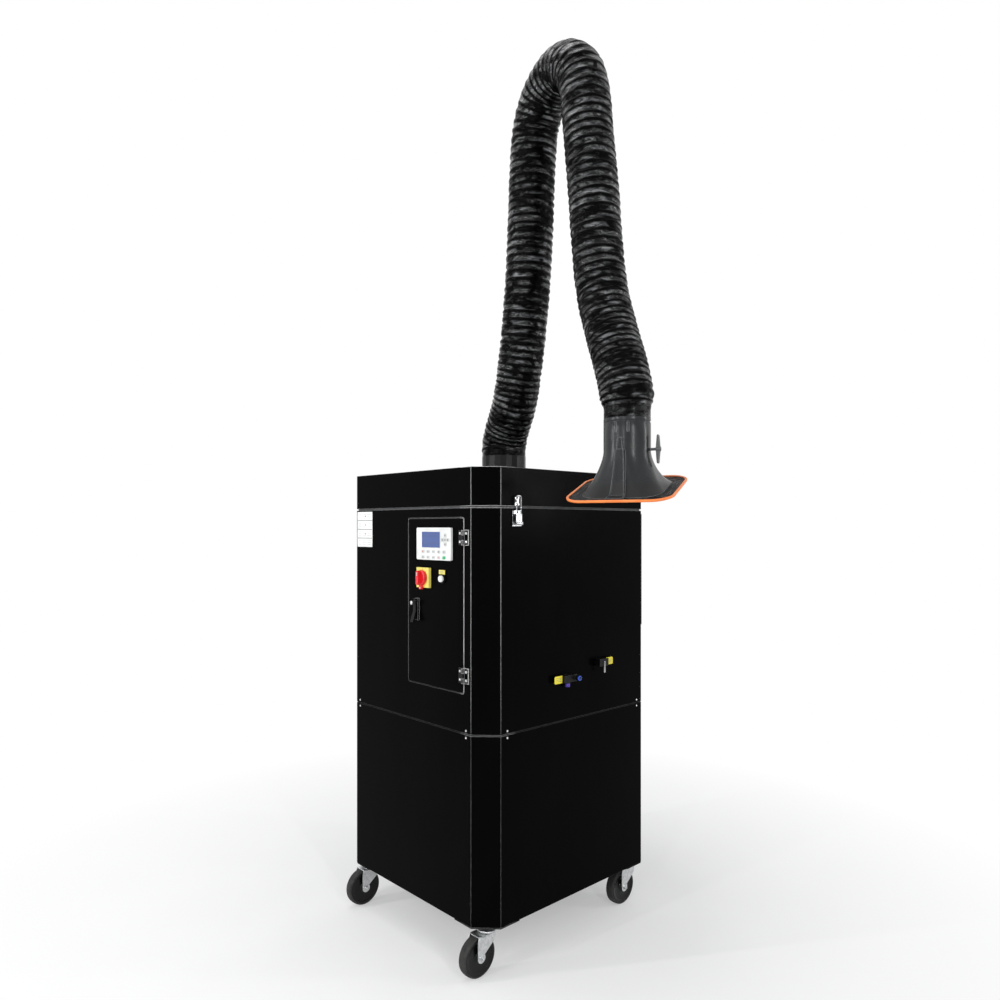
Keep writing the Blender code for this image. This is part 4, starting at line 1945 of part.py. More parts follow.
def hose_valley(distance, total):
    """The outer radius between ribs: wider over the sleeve, narrower at the hood's cuff."""
    middle = HOSE_RADIUS - HOSE_RIB
    base = bore_radius(SPIGOT_RADIUS, HOSE_SIDES, HOSE_EASE) + HOSE_WALL
    cuff = bore_radius(NECK_SPIGOT, HOSE_SIDES, HOSE_EASE) + HOSE_WALL
    straight = SLEEVE_TOP - SLEEVE_VISIBLE + HOSE_PITCH
    low = min(1.0, max(0.0, 1 - (distance - straight) / HOSE_BASE_TAPER))
    high = min(1.0, max(0.0, 1 - (total - distance - HOSE_CUFF_BAND) / HOSE_CUFF_TAPER))
    return middle + low * (base - middle) + high * (cuff - middle)


def hose_ring(centre, tangent, radius):
    normal = ARM_SIDE.cross(tangent).normalized()
    angles = [2 * math.pi * index / HOSE_SIDES for index in range(HOSE_SIDES)]
    return [centre + radius * (math.cos(a) * ARM_SIDE + math.sin(a) * normal) for a in angles]


def hose_length(name, first, last, joint, bore_step):
    """One length of the hose between two stations, ribs outside and a plain bore."""
    stations, total = hose_stations()
    outer, inner = [], []
    for index in range(first, last + 1):
        centre, distance, tangent = stations[index]
        if index == first and first > 0:
            centre = centre + GAP / 2 * tangent
        if index == last and last < len(stations) - 1:
            centre = centre - GAP / 2 * tangent
        valley = hose_valley(distance, total)
        ribbed = index % 2 and total - distance > HOSE_CUFF_BAND
        outer.append(hose_ring(centre, tangent, valley + (HOSE_RIB if ribbed else 0)))
        if (index - first) % bore_step == 0 or index in (first + 2, last - 2, last):
            inner.append(hose_ring(centre, tangent, valley - HOSE_WALL))
    bm = solid((stack, outer + list(reversed(inner)), True))
    return piece(name, bm, hose_fabric(), joint)


def hose_split(share):
    stations, _ = hose_stations()
    return 2 * round(share * (len(stations) - 1) / 2)


# The whole object

def build_control_door():
    door = joint_empty("control_door_hinge", hinge_axis() + DOOR_LOW * UP)
    handle = joint_empty("isolator_axis", on_front(ISOLATOR_X, ISOLATOR_HEIGHT), door)
    button = joint_empty("button_axis", on_front(BUTTON_X, BUTTON_HEIGHT), door)
    lock = joint_empty("lock_axis", on_front(*lock_place()), door)
    control_door(door)
    for label, height in zip(("lower", "upper"), HINGE_HEIGHTS):
        door_hinge_leaf(label, height, door)
    display_frame(door)
    display_screen(door)
    isolator_plate(door)
    isolator_handle(handle)
    button_bezel(door)
    push_button(button)
    lock_lever(lock)


def build_arm(lid):
    swivel = joint_empty("arm_swivel", arm_point(0, 0), lid)
    lower = joint_empty("lower_tilt", arm_point(*LOWER_PIVOT), swivel)
    lower_pair = paired(LOWER_PIVOT, 1)
    lower_rod = joint_empty("lower_rod_pivot", arm_point(*lower_pair), swivel)
    elbow = joint_empty("elbow_level", arm_point(*ELBOW_LOWER_PIVOT), lower)
    outer = joint_empty("outer_tilt", arm_point(*ELBOW_OUTER_PIVOT), elbow)
    outer_pair = paired(ELBOW_OUTER_PIVOT, -1)
    outer_rod = joint_empty("outer_rod_pivot", arm_point(*outer_pair), elbow)
    wrist = joint_empty("wrist_level", arm_point(*WRIST_PIVOT), outer)
    turn = joint_empty("hood_turn", hood_point(0, 0, HOOD_PIVOT), wrist)
    tilt = joint_empty("hood_tilt", hood_point(0, 0, HOOD_PIVOT), turn)
    throttle = joint_empty("damper_axis", hood_point(0, 0, DAMPER_HEIGHT), tilt)
    arm_base(swivel)
    arm_link("lower_link", LOWER_PIVOT, ELBOW_LOWER_PIVOT, link_side(), LINK_HALF_WIDTH,
             LINK_THICKNESS, lower)
    arm_link("lower_rod", lower_pair, paired(ELBOW_LOWER_PIVOT, 1), rod_side(), ROD_HALF_WIDTH,
             ROD_THICKNESS, lower_rod)
    elbow_bracket(elbow)
    arm_link("outer_link", ELBOW_OUTER_PIVOT, WRIST_PIVOT, link_side(), LINK_HALF_WIDTH,
             LINK_THICKNESS, outer)
    arm_link("outer_rod", outer_pair, paired(WRIST_PIVOT, -1), rod_side(), ROD_HALF_WIDTH,
             ROD_THICKNESS, outer_rod)
    wrist_bracket(wrist)
    hood_gimbal(turn)
    hood(tilt)
    hood_trim(tilt)
    damper(throttle)
    splits = [0] + [hose_split(share) for share in HOSE_SPLIT_SHARES] + [len(hose_stations()[0]) - 1]
    hose_length("hose_lower", splits[0], splits[1], lower, 4)
    hose_length("hose_elbow", splits[1], splits[2], elbow, 2)
    hose_length("hose_outer", splits[2], splits[3], outer, 4)


def main():
    clear_scene()
    for label, side_x, side_y in (
        ("front_left", -1, -1), ("front_right", 1, -1), ("rear_left", -1, 1), ("rear_right", 1, 1),
    ):
        caster(label, side_x, side_y)
    lower_cabinet()
    deck_plate()
    upper_cabinet()
    lid_seal()
    control_enclosure()
    control_gear()
    tube_sheet()
    filter_cartridge("left", -1)
    filter_cartridge("right", 1)
    air_receiver()
    fan_scroll()
    fan_impeller(joint_empty("fan_axis", (0, FAN_Y, SCROLL_LOW)))
    fan_motor()
    cable_gland()
    drawer_runners()
    dust_drawer(joint_empty("drawer_slide", (0, REAR, drawer_bottom())))
    service_door(joint_empty("service_door_hinge", service_hinge_axis() + LOWER_BASE * UP))
    build_control_door()
    for label, side in (("right", 1), ("left", -1)):
        latch_base(label, side)
        latch_lever(label, side, joint_empty(f"latch_pivot_{label}", latch_pivot(side)))
    air_inlet()
    drain_valve()
    drain_lever(joint_empty("drain_axis", drain_stem_ends(0)[1]))
    lid = joint_empty("lid_hinge", lid_hinge_axis())
    lid_box(lid)
    for label, side in (("right", 1), ("left", -1)):
        latch_keeper(label, side, lid)
    duct_collar(lid)
    build_arm(lid)


main()
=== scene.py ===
"""Looks of the mobile fume extractor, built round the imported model. Metres, +Z up."""

import bisect
import json
import math

import bmesh
import bpy
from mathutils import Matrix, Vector, noise

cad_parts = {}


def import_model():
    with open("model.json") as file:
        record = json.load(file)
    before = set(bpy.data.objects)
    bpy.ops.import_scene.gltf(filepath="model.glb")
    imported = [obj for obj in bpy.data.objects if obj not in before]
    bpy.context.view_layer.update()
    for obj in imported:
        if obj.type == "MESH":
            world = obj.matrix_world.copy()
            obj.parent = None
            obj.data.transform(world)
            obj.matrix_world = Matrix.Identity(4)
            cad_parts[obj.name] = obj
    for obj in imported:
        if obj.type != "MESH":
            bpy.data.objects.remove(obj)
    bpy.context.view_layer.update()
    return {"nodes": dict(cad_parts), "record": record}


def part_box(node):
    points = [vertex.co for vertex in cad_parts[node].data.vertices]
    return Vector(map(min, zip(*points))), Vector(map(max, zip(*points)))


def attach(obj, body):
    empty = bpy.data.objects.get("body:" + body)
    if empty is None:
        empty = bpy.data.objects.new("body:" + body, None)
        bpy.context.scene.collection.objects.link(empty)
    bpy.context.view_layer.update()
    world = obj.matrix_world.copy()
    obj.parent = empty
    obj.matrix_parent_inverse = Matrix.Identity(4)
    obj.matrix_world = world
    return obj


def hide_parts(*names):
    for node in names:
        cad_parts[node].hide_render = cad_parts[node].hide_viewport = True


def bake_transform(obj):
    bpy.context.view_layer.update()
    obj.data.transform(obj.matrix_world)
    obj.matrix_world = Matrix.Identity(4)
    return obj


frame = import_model()

UP = Vector((0, 0, 1))
X_AXIS = Vector((1, 0, 0))
Y_AXIS = Vector((0, 1, 0))
OUT_FRONT = Vector((0, -1, 0))


def middle_of(node):
    low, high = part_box(node)
    return (low + high) / 2


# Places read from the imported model
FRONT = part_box("lower_cabinet")[0].y
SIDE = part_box("lower_cabinet")[1].x
SEAM_HEIGHT = middle_of("deck_plate").z
LID_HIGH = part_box("lid_box")[1].z
COLLAR_LOW, COLLAR_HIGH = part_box("duct_collar")
DUCT_MIDDLE = Vector((0, (COLLAR_LOW.y + COLLAR_HIGH.y) / 2, LID_HIGH))


# Materials

class Nodes:
    """A node tree that grows one call at a time."""

    def __init__(self, tree):
        self.tree = tree

    def add(self, kind, **settings):
        node = self.tree.nodes.new(kind)
        for name, value in settings.items():
            setattr(node, name, value)
        return node

    def link(self, output, target):
        self.tree.links.new(output, target)

    def feed(self, socket, value):
        """Writes a number or a colour into a socket, or links an output to it."""
        if isinstance(value, (int, float)):
            socket.default_value = value
        elif isinstance(value, tuple):
            socket.default_value = (*value, 1)
        else:
            self.link(value, socket)

    def combined(self, operation, first, second):
        node = self.add("ShaderNodeMath", operation=operation)
        self.feed(node.inputs[0], first)
        self.feed(node.inputs[1], second)
        return node.outputs[0]

    def times(self, first, second):
        return self.combined("MULTIPLY", first, second)

    def mix_shaders(self, factor, first, second, target):
        node = self.add("ShaderNodeMixShader")
        for socket, value in zip(node.inputs, (factor, first, second)):
            self.link(value, socket)
        self.link(node.outputs[0], target)

    def background_rays(self):
        """1 for the rays that show the background: straight to the camera, mirrored or through glass."""
        path = self.add("ShaderNodeLightPath")
        value = path.outputs["Is Camera Ray"]
        for name in ("Is Glossy Ray", "Is Transmission Ray"):
            value = self.combined("MAXIMUM", value, path.outputs[name])
        return value


class Surface(Nodes):
    """A Principled material; its noise arguments are scale, detail, stretch and distortion."""

    def __init__(self, name, colour, roughness, metallic=0.0, **sockets):
        self.material = bpy.data.materials.new("scene_" + name)
        self.material.use_nodes = True
        self.material.diffuse_color = (*colour, 1)
        super().__init__(self.material.node_tree)
        self.shader = self.tree.nodes["Principled BSDF"]
        sockets = {"Base_Color": (*colour, 1), "Roughness": roughness, "Metallic": metallic, **sockets}
        for socket, value in sockets.items():
            self.shader.inputs[socket.replace("_", " ")].default_value = value
        self.place = self.add("ShaderNodeTexCoord").outputs["Object"]
        self.normal = None

    def texture(self, kind, output, stretch, values, **settings):
        """A texture on the object's coordinates, scaled unlike along each axis."""
        mapping = self.add("ShaderNodeMapping")
        mapping.inputs["Scale"].default_value = stretch
        self.link(self.place, mapping.inputs["Vector"])
        node = self.add(kind, **settings)
        self.link(mapping.outputs["Vector"], node.inputs["Vector"])
        for socket, value in values.items():
            node.inputs[socket].default_value = value
        return node.outputs[output]

    def noise(self, scale, detail=3.0, stretch=(1, 1, 1), distortion=0.0):
        values = {"Scale": scale, "Detail": detail, "Distortion": distortion}
        return self.texture("ShaderNodeTexNoise", "Fac", stretch, values)

    def cells(self, scale, feature="F1", stretch=(1, 1, 1), output="Distance"):
        return self.texture("ShaderNodeTexVoronoi", output, stretch, {"Scale": scale}, feature=feature)

    def waves(self, scale, direction="X", stretch=(1, 1, 1), distortion=0.0):
        values = {"Scale": scale, "Distortion": distortion}
        return self.texture("ShaderNodeTexWave", "Fac", stretch, values, bands_direction=direction)

    def axes(self):
        split = self.add("ShaderNodeSeparateXYZ")
        self.link(self.place, split.inputs["Vector"])
        return split.outputs

    def ranged(self, value, low, high, start=0.3, end=0.7):
        """Low where the value is at start, high at end, and no further than either."""
        node = self.add("ShaderNodeMapRange")
        self.link(value, node.inputs["Value"])
        for socket, number in zip(("From Min", "From Max", "To Min", "To Max"), (start, end, low, high)):
            node.inputs[socket].default_value = number
        return node.outputs["Result"]

    def cloud(self, *pattern):
        """Noise as a share from 0 to 1."""
        return self.ranged(self.noise(*pattern), 0, 1)

    def mixed(self, factor, low, high):
        """Colour low at factor 0 and high at 1; each is a colour or a node's output."""
        node = self.add("ShaderNodeMix", data_type="RGBA")
        self.link(factor, node.inputs["Factor"])
        self.feed(node.inputs[6], low)
        self.feed(node.inputs[7], high)
        return node.outputs[2]

    def paint(self, factor, low, high):
        self.link(self.mixed(factor, low, high), self.shader.inputs["Base Color"])

    def rough(self, output):
        self.link(output, self.shader.inputs["Roughness"])

    def uneven(self, low, high, *pattern):
        self.rough(self.ranged(self.noise(*pattern), low, high))

    def round_edges(self, radius):
        """Rounds the shading at sharp edges, and returns how near an edge is, from 0 to 1."""
        node = self.add("ShaderNodeBevel", samples=6)
        node.inputs["Radius"].default_value = radius
        self.normal = node.outputs["Normal"]
        geometry = self.add("ShaderNodeNewGeometry")
        dot = self.add("ShaderNodeVectorMath", operation="DOT_PRODUCT")
        self.link(self.normal, dot.inputs[0])
        self.link(geometry.outputs["Normal"], dot.inputs[1])
        return self.ranged(dot.outputs["Value"], 1.0, 0.0, 0.84, 0.995)

    def bump(self, strength, distance, height):
        node = self.add("ShaderNodeBump")
        node.inputs["Strength"].default_value = strength
        node.inputs["Distance"].default_value = distance
        self.link(height, node.inputs["Height"])
        if self.normal is not None:
            self.link(self.normal, node.inputs["Normal"])
        self.normal = node.outputs["Normal"]

    def grain(self, strength, distance, *pattern):
        self.bump(strength, distance, self.noise(*pattern))

    def done(self):
        if self.normal is not None:
            self.link(self.normal, self.shader.inputs["Normal"])
        return self.material


def tinted(colour, share):
    return tuple(min(1.0, channel * share) for channel in colour)


def powder_coat():
    """Black powder coat: orange peel, faint smears, and edges painted bright as highlights, strongest up high and at
    the near corner.
    """
    s = Surface("powder_coat", (0.001, 0.001, 0.0011), 0.24, IOR=1.09, Specular_IOR_Level=0.34)
    edge = s.round_edges(0.0022)
    base = s.mixed(s.cloud(2.4, 6, (1, 1, 0.35), 1.2), (0.0008, 0.0008, 0.0009), (0.0016, 0.0015, 0.0017))
    axes = s.axes()
    # Painted highlight on the edges: brighter at the near front corner's bends and fading towards the bottom
    corner = s.times(s.ranged(axes["X"], 0, 1, 0.26, 0.28), s.ranged(axes["Y"], 1, 0, -0.3, -0.28))
    painted_edge_highlight = s.times(s.ranged(axes["Z"], 0.16, 1.0, 0.7, 1.15), s.ranged(corner, 0.36, 2.2, 0, 1))
    s.paint(s.times(edge, painted_edge_highlight), base, (0.9, 0.9, 0.91))
    s.uneven(0.19, 0.28, 7, 5)
    s.grain(0.16, 0.00025, 1500, 2)
    s.grain(0.25, 0.004, 3.2, 2)
    return s.done()


def zinc():
    """Galvanised steel with faint spangles and drawn streaks."""
    s = Surface("zinc", (0.56, 0.575, 0.58), 0.34, 1.0)
    s.round_edges(0.001)
    tone = s.add("ShaderNodeSeparateColor")
    s.link(s.cells(160, output="Color"), tone.inputs["Color"])
    spangle = tone.outputs["Red"]
    s.paint(spangle, (0.5, 0.515, 0.52), (0.66, 0.67, 0.68))
    s.rough(s.ranged(spangle, 0.26, 0.44, 0, 1))
    s.grain(0.12, 0.0003, 240, 4, (1, 1, 0.15))
    return s.done()


def black_zinc():
    s = Surface("black_zinc", (0.02, 0.02, 0.021), 0.34, 0.85)
    # Painted highlight: the edges are painted lighter than the plating
    s.paint(s.round_edges(0.0008), (0.013, 0.013, 0.014), (0.1, 0.1, 0.11))
    s.uneven(0.3, 0.46, 120, 4)
    s.grain(0.12, 0.0002, 600, 3)
    return s.done()


def grained(name, colour, roughness, metallic, gloss, grain, clouds=(), edge=0.0, **sockets):
    """A plain finish: uneven gloss, fine grain and, where given, clouds of two colours and soft edges."""
    s = Surface(name, colour, roughness, metallic, **sockets)
    if edge:
        s.round_edges(edge)
    if clouds:
        low, high, *pattern = clouds
        s.paint(s.cloud(*pattern), low, high)
    s.uneven(*gloss)
    s.grain(*grain)
    return s.done()


def moulded(name, colour, roughness, grain=1400, peel=0.03, **sockets):
    """Moulded plastic: fine grain, slight tone drift, and rounded edges painted lighter as a highlight."""
    s = Surface(name, colour, roughness, **sockets)
    edge = s.round_edges(0.0012)
    drift = s.mixed(s.cloud(14, 4), tinted(colour, 0.9), tinted(colour, 1.08))
    # Painted highlight: edges painted half again as light as the plastic
    s.paint(s.times(edge, 0.35), drift, tinted(colour, 1.5))
    s.uneven(roughness - 0.06, roughness + 0.07, 26, 5)
    s.grain(peel, 0.0002, grain, 2)
    return s.done()


def hood_plastic():
    """Dark grey polythene, glossier on the neck and darker and matter on the flare's skirt; its edges are painted pale
    as highlights, fainter up the neck.
    """
    s = Surface("hood_plastic", (0.026, 0.028, 0.03), 0.34, IOR=1.35)
    height = s.axes()["Z"]
    skirt = s.ranged(height, 1.0, 0.0, 1.474, 1.494)
    cloud = s.cloud(22, 6, (1, 1, 0.5), 0.8)
    neck = s.mixed(cloud, (0.0105, 0.0118, 0.013), (0.02, 0.022, 0.0235))
    rim = s.mixed(cloud, (0.007, 0.007, 0.0075), (0.014, 0.014, 0.0145))
    # Painted highlight: edges painted pale grey, fading to a third of that up the neck
    edge = s.times(s.round_edges(0.0016), s.ranged(height, 1.0, 0.3, 1.62, 1.66))
    s.paint(edge, s.mixed(skirt, neck, rim), (0.24, 0.25, 0.26))
    s.rough(s.combined("ADD", s.ranged(s.noise(30, 5), 0.2, 0.3), s.ranged(skirt, 0.0, 0.18, 0, 1)))
    s.grain(0.1, 0.0004, 420, 4)
    s.grain(0.2, 0.004, 9, 3)
    return s.done()


def hose_cloth():
    """Black coated cloth: creases painted light as glints in the slack bands between the wires, a weave and a
    wet-looking coat.

    The mesh's own value "rib" is 0 in a band's middle and 1 over the wire.
    """
    s = Surface("hose_cloth", (0.0016, 0.0016, 0.0018), 0.16, IOR=1.25)
    rib = s.add("ShaderNodeAttribute", attribute_name="rib").outputs["Fac"]
    lens = s.ranged(s.noise(24, 5, (0.55, 0.55, 1.1), 0.9), 0, 1, 0.41, 0.62)
    slack = s.times(s.ranged(rib, 1, 0, 0.15, 0.75), lens)
    # Painted highlight: light streaks in the slack bands stand for the glints of the crumpled coat
    painted_glints = s.ranged(s.noise(52, 6, (0.45, 0.45, 1.5), 1.1), 0.06, 1, 0.46, 0.62)
    base = s.mixed(s.cloud(60, 5), (0.0008, 0.0008, 0.001), (0.0024, 0.0023, 0.0025))
    s.paint(s.times(slack, painted_glints), base, (0.165, 0.17, 0.175))
    s.uneven(0.09, 0.2, 75, 6)
    s.link(s.ranged(slack, 0.08, 1.0, 0, 1), s.shader.inputs["Specular IOR Level"])
    s.bump(0.05, 0.0003, s.times(s.waves(420, "Z"), s.waves(420, "X", (1, 1, 0.1))))
    s.grain(0.75, 0.0034, 55, 7, (0.45, 0.45, 1.5), 1.0)
    s.bump(0.3, 0.002, s.cells(95, "SMOOTH_F1", (0.35, 0.35, 1.2)))
    return s.done()


def lcd():
    """The unlit blue window: a fine dot grid under a clear cover."""
    s = Surface("lcd", (0.05, 0.1, 0.33), 0.16, Coat_Weight=0.5, Coat_Roughness=0.06)
    grid = s.times(s.waves(520, "X"), s.waves(520, "Z"))
    field = s.mixed(s.cloud(20, 3), (0.038, 0.08, 0.29), (0.058, 0.112, 0.36))
    s.paint(s.ranged(grid, 0, 1, 0.0, 0.8), tinted((0.05, 0.1, 0.33), 0.78), field)
    s.uneven(0.12, 0.22, 60, 3)
    return s.done()


def seal_foam():
    s = Surface("seal_foam", (0.08, 0.082, 0.085), 0.7)
    s.paint(s.cloud(90, 5), (0.05, 0.052, 0.054), (0.105, 0.108, 0.112))
    s.uneven(0.6, 0.8, 60, 3)
    s.bump(0.25, 0.0004, s.cells(900))
    return s.done()


def turned_brass():
    s = Surface("brass", (0.6, 0.5, 0.3), 0.3, 1.0)
    s.round_edges(0.0008)
    s.paint(s.cloud(60, 4), (0.5, 0.42, 0.26), (0.68, 0.58, 0.36))
    s.uneven(0.24, 0.4, 200, 4, (1, 1, 0.2))
    s.bump(0.05, 0.0002, s.waves(900, "Z", distortion=0.4))
    return s.done()


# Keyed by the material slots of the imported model, and by short names for the rest
FINISH = {
    "black_powder_coat": powder_coat(),
    "galvanised_steel": zinc(),
    "chromed_steel": grained(
        "chrome", (0.42, 0.42, 0.44), 0.16, 1.0, (0.1, 0.28, 90, 5), (0.05, 0.0002, 700, 3, (1, 1, 0.2)),
        ((0.22, 0.225, 0.235), (0.52, 0.53, 0.54), 35, 4), edge=0.0008,
    ),
    "screw": grained("bright_screw", (0.74, 0.74, 0.76), 0.24, 1.0, (0.18, 0.34, 400, 3), (0.08, 0.0002, 1200, 2)),
    "black_zinc": black_zinc(),
    "black_plastic": moulded("black_plastic", (0.004, 0.004, 0.0044), 0.3, 1100, 0.12, IOR=1.25),
    "hub": moulded("hub_plastic", (0.004, 0.004, 0.0044), 0.22, 500, 0.06, IOR=1.3),
    "knob": moulded("knob_plastic", (0.07, 0.073, 0.078), 0.38, 700, 0.1),
    "dark_grey_plastic": hood_plastic(),
    "black_coated_fabric": hose_cloth(),
    "orange_rubber": grained(
        "orange_rubber", (0.87, 0.215, 0.04), 0.42, 0.0, (0.34, 0.52, 60, 4), (0.1, 0.0003, 500, 3),
        ((0.8, 0.175, 0.028), (0.93, 0.27, 0.06), 28, 5),
    ),
    "grey_tyre_rubber": grained(
        "tyre", (0.026, 0.027, 0.026), 0.62, 0.0, (0.58, 0.8, 80, 4), (0.22, 0.0004, 900, 4),
        ((0.02, 0.021, 0.02), (0.042, 0.042, 0.04), 45, 6), IOR=1.3,
    ),
    "white_plastic": moulded("white_plastic", (0.8, 0.815, 0.8), 0.42, 1400, 0.05),
    "pale": moulded("pale_print", (0.6, 0.61, 0.6), 0.48),
    "grey": moulded("grey_print", (0.24, 0.25, 0.26), 0.46),
    "dark": moulded("dark_print", (0.03, 0.03, 0.034), 0.44),
    "green": moulded("green_key", (0.04, 0.46, 0.19), 0.4),
    "pink": moulded("red_key", (0.56, 0.16, 0.14), 0.42),
    "blue_screen": lcd(),
    "red_plastic": moulded("red_plastic", (0.72, 0.012, 0.02), 0.24, 900, 0.04, Coat_Weight=0.3),
    "yellow_plastic": moulded("yellow_plastic", (0.83, 0.72, 0.16), 0.38, 900, 0.05),
    "tag": moulded("yellow_tag", (0.8, 0.68, 0.03), 0.46, 900, 0.05),
    "blue": moulded("blue_ring", (0.015, 0.07, 0.46), 0.3, 900, 0.04),
    "violet": moulded("violet_cap", (0.06, 0.03, 0.3), 0.34, 900, 0.04),
    "filter_paper": grained(
        "filter_paper", (0.74, 0.74, 0.7), 0.88, 0.0, (0.8, 0.95, 50, 3), (0.35, 0.0006, 700, 6),
        ((0.6, 0.6, 0.57), (0.8, 0.8, 0.77), 40, 7),
    ),
    "seal_rubber": seal_foam(),
    "brass": turned_brass(),
    "grey_motor_paint": moulded("motor_paint", (0.2, 0.23, 0.26), 0.46, 700, 0.12),
    "cover": moulded("terminal_cover", (0.36, 0.37, 0.36), 0.48, 900, 0.05),
}
NODE_FINISH = {
    "display_frame": "white_plastic", "control_gear": "cover", "deck_plate": "black_plastic",
    "arm_base": "black_plastic", "duct_collar": "black_plastic", "air_inlet": "black_zinc",
    "drain_valve": "black_zinc",
}


def dress_frame():
    """Gives every CAD node that still shows its detailed material."""
    for row in frame["record"]["subparts"]:
        finish = FINISH[NODE_FINISH.get(row["node"], row["material_slot"])]
        node = frame["nodes"][row["node"]]
        for slot in node.material_slots:
            slot.material = finish
        if not node.material_slots:
            node.data.materials.append(finish)


# Building helpers

def new_object(name, shape, finish, smooth=40):
    """An object from a bmesh, with faces that meet at less than smooth degrees shaded together."""
    mesh = bpy.data.meshes.new(name)
    bmesh.ops.recalc_face_normals(shape, faces=shape.faces)
    shape.to_mesh(mesh)
    shape.free()
    item = bpy.data.objects.new(name, mesh)
    bpy.context.scene.collection.objects.link(item)
    for face in mesh.polygons:
        face.use_smooth = True
    mesh.set_sharp_from_angle(angle=math.radians(smooth))
    mesh.materials.append(FINISH[finish])
    return item


def new_shapes(count):
    return [bmesh.new() for _ in range(count)]


def put(name, body, shape, finish, soft=0.0, smooth=40, stands_for=""):
    """Adds one piece that rides on a body, with edges rounded by soft, and may stand for a CAD node."""
    item = new_object(name, shape, finish, smooth)
    if soft:
        bevel = item.modifiers.new("soft_edges", "BEVEL")
        bevel.width = soft
        bevel.segments = 2
        bevel.limit_method = "ANGLE"
        bevel.angle_limit = math.radians(35)
        bevel.harden_normals = True
    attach(item, body)
    if stands_for:
        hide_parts(stands_for)


def loop_of(shape, points):
    return [shape.verts.new(point) for point in points]


def bridge(shape, low, high):
    """Quads between two closed rings of vertices."""
    for index in range(len(low)):
        after = (index + 1) % len(low)
        shape.faces.new((low[index], low[after], high[after], high[index]))


def add_loft(shape, rings, ends="capped"):
    """Joins rings of points in turn; the ends are "capped", "open" or "joined" to each other."""
    loops = [loop_of(shape, ring) for ring in rings]
    for low, high in zip(loops, loops[1:] + (loops[:1] if ends == "joined" else [])):
        bridge(shape, low, high)
    if ends == "capped":
        shape.faces.new(loops[0])
        shape.faces.new(list(reversed(loops[-1])))
    return loops


def add_slab(shape, outline, place, across, upward, depth):
    """A prism: outline in (across, upward) from place, pushed by the vector depth."""
    near = [place + across * x + upward * y for x, y in outline]
    add_loft(shape, [near, [point + depth for point in near]])


def add_lathe(shape, profile, place, axis, segments=48, ends="capped"):
    """Turns (radius, along) points about an axis."""
    axis = axis.normalized()
    side = axis.orthogonal().normalized()
    other = axis.cross(side)
    turns = [math.tau * index / segments for index in range(segments)]
    add_loft(shape, [
        [place + axis * along + (side * math.cos(turn) + other * math.sin(turn)) * radius for turn in turns]
        for radius, along in profile
    ], ends)


def mirrored(profile):
    """A profile's (radius, along) points in reverse order on the far side."""
    return [(radius, -along) for radius, along in reversed(profile)]


def rounded(width, height, radius, steps=5):
    """Outline of a rectangle with round corners about the middle."""
    outline = []
    for sign_x, sign_y, start in ((1, 1, 0), (-1, 1, 90), (-1, -1, 180), (1, -1, 270)):
        for step in range(steps + 1):
            angle = math.radians(start + 90 * step / steps)
            x = sign_x * (width / 2 - radius) + radius * math.cos(angle)
            y = sign_y * (height / 2 - radius) + radius * math.sin(angle)
            outline.append((x, y))
    return outline


def polygon(sides, radius, turn=0.0):
    return [
        (radius * math.cos(math.tau * n / sides + turn), radius * math.sin(math.tau * n / sides + turn))
        for n in range(sides)
    ]


def put_screws(name, body, places, radius, height):
    """Bright screw heads with a domed rim and a hexagon socket, at (place, direction) pairs."""
    shape = bmesh.new()
    profile = [(radius * 1.15, 0), (radius * 1.15, height * 0.18), (radius, height * 0.2),
               (radius, height * 0.8), (radius * 0.82, height), (radius * 0.5, height)]
    for place, out in places:
        place, across = Vector(place), out.orthogonal().normalized()
        add_lathe(shape, profile, place, out, 24)
        add_slab(shape, polygon(6, radius * 0.42), place + out * height, across, out.cross(across), out * 0.0003)
    put(name, body, shape, "screw")


# Hose

ARM_OUT = Vector((0.965926, -0.258819, 0))
ARM_SIDE = Vector((0.258819, 0.965926, 0))
# (reach, height) from the middle of the duct collar
HOSE_ROUTE = (
    (0, 0.076), (0, 0.097), (0, 0.118), (0.022, 0.168), (0.056, 0.218), (0.085, 0.272), (0.116, 0.372),
    (0.142, 0.474), (0.161, 0.576), (0.177, 0.677), (0.188, 0.778), (0.197, 0.879), (0.203, 0.98),
    (0.212, 1.08), (0.232, 1.18), (0.285, 1.255), (0.36, 1.289), (0.435, 1.284), (0.498, 1.232),
    (0.532, 1.145), (0.547, 1.034), (0.562, 0.934), (0.575, 0.838), (0.586, 0.744), (0.597, 0.65),
    (0.612, 0.556), (0.638, 0.462), (0.677, 0.364), (0.717, 0.27), (0.739, 0.2), (0.743, 0.165),
    (0.743, 0.145), (0.743, 0.124),
)
ROUTE_STEPS = 16
HOSE_VALLEY = 0.0742
HOSE_RIB = 0.003
HOSE_AROUND = 88
RINGS_PER_RIB = 10
BASE_CUFF = 0.018
END_CUFF = 0.024
BASE_WIDER = 0.002
LOWER_RUN_WIDER = 0.0025
CUFF_RADIUS = 0.0655
PITCH_SHORT = 0.019
PITCH_LONG = 0.0262
FOLD_DEPTH = 0.005
HOSE_CUTS = (0.42, 1.29, 1.9)
CUFF_LENGTH = 0.052
# Name, the bodies it bends between, (reach, height) where the bend starts and ends, and the node it replaces
HOSE_PIECES = (
    ("hose_base_run", "arm_turret", "lower_arm", (0.01, 0.12), (0.1, 0.33), "hose_lower"),
    ("hose_lower_run", "lower_arm", "elbow", (0.205, 1.0), (0.245, 1.215), ""),
    ("hose_elbow_run", "elbow", "outer_arm", (0.48, 1.25), (0.55, 1.0), "hose_elbow"),
    ("hose_outer_run", "outer_arm", "wrist", (0.69, 0.33), (0.742, 0.178), "hose_outer"),
    ("hose_cuff", "gimbal", "hood_body", (0.743, 0.17), (0.743, 0.126), ""),
)


def arm_point(reach, height):
    return DUCT_MIDDLE + ARM_OUT * reach + UP * height


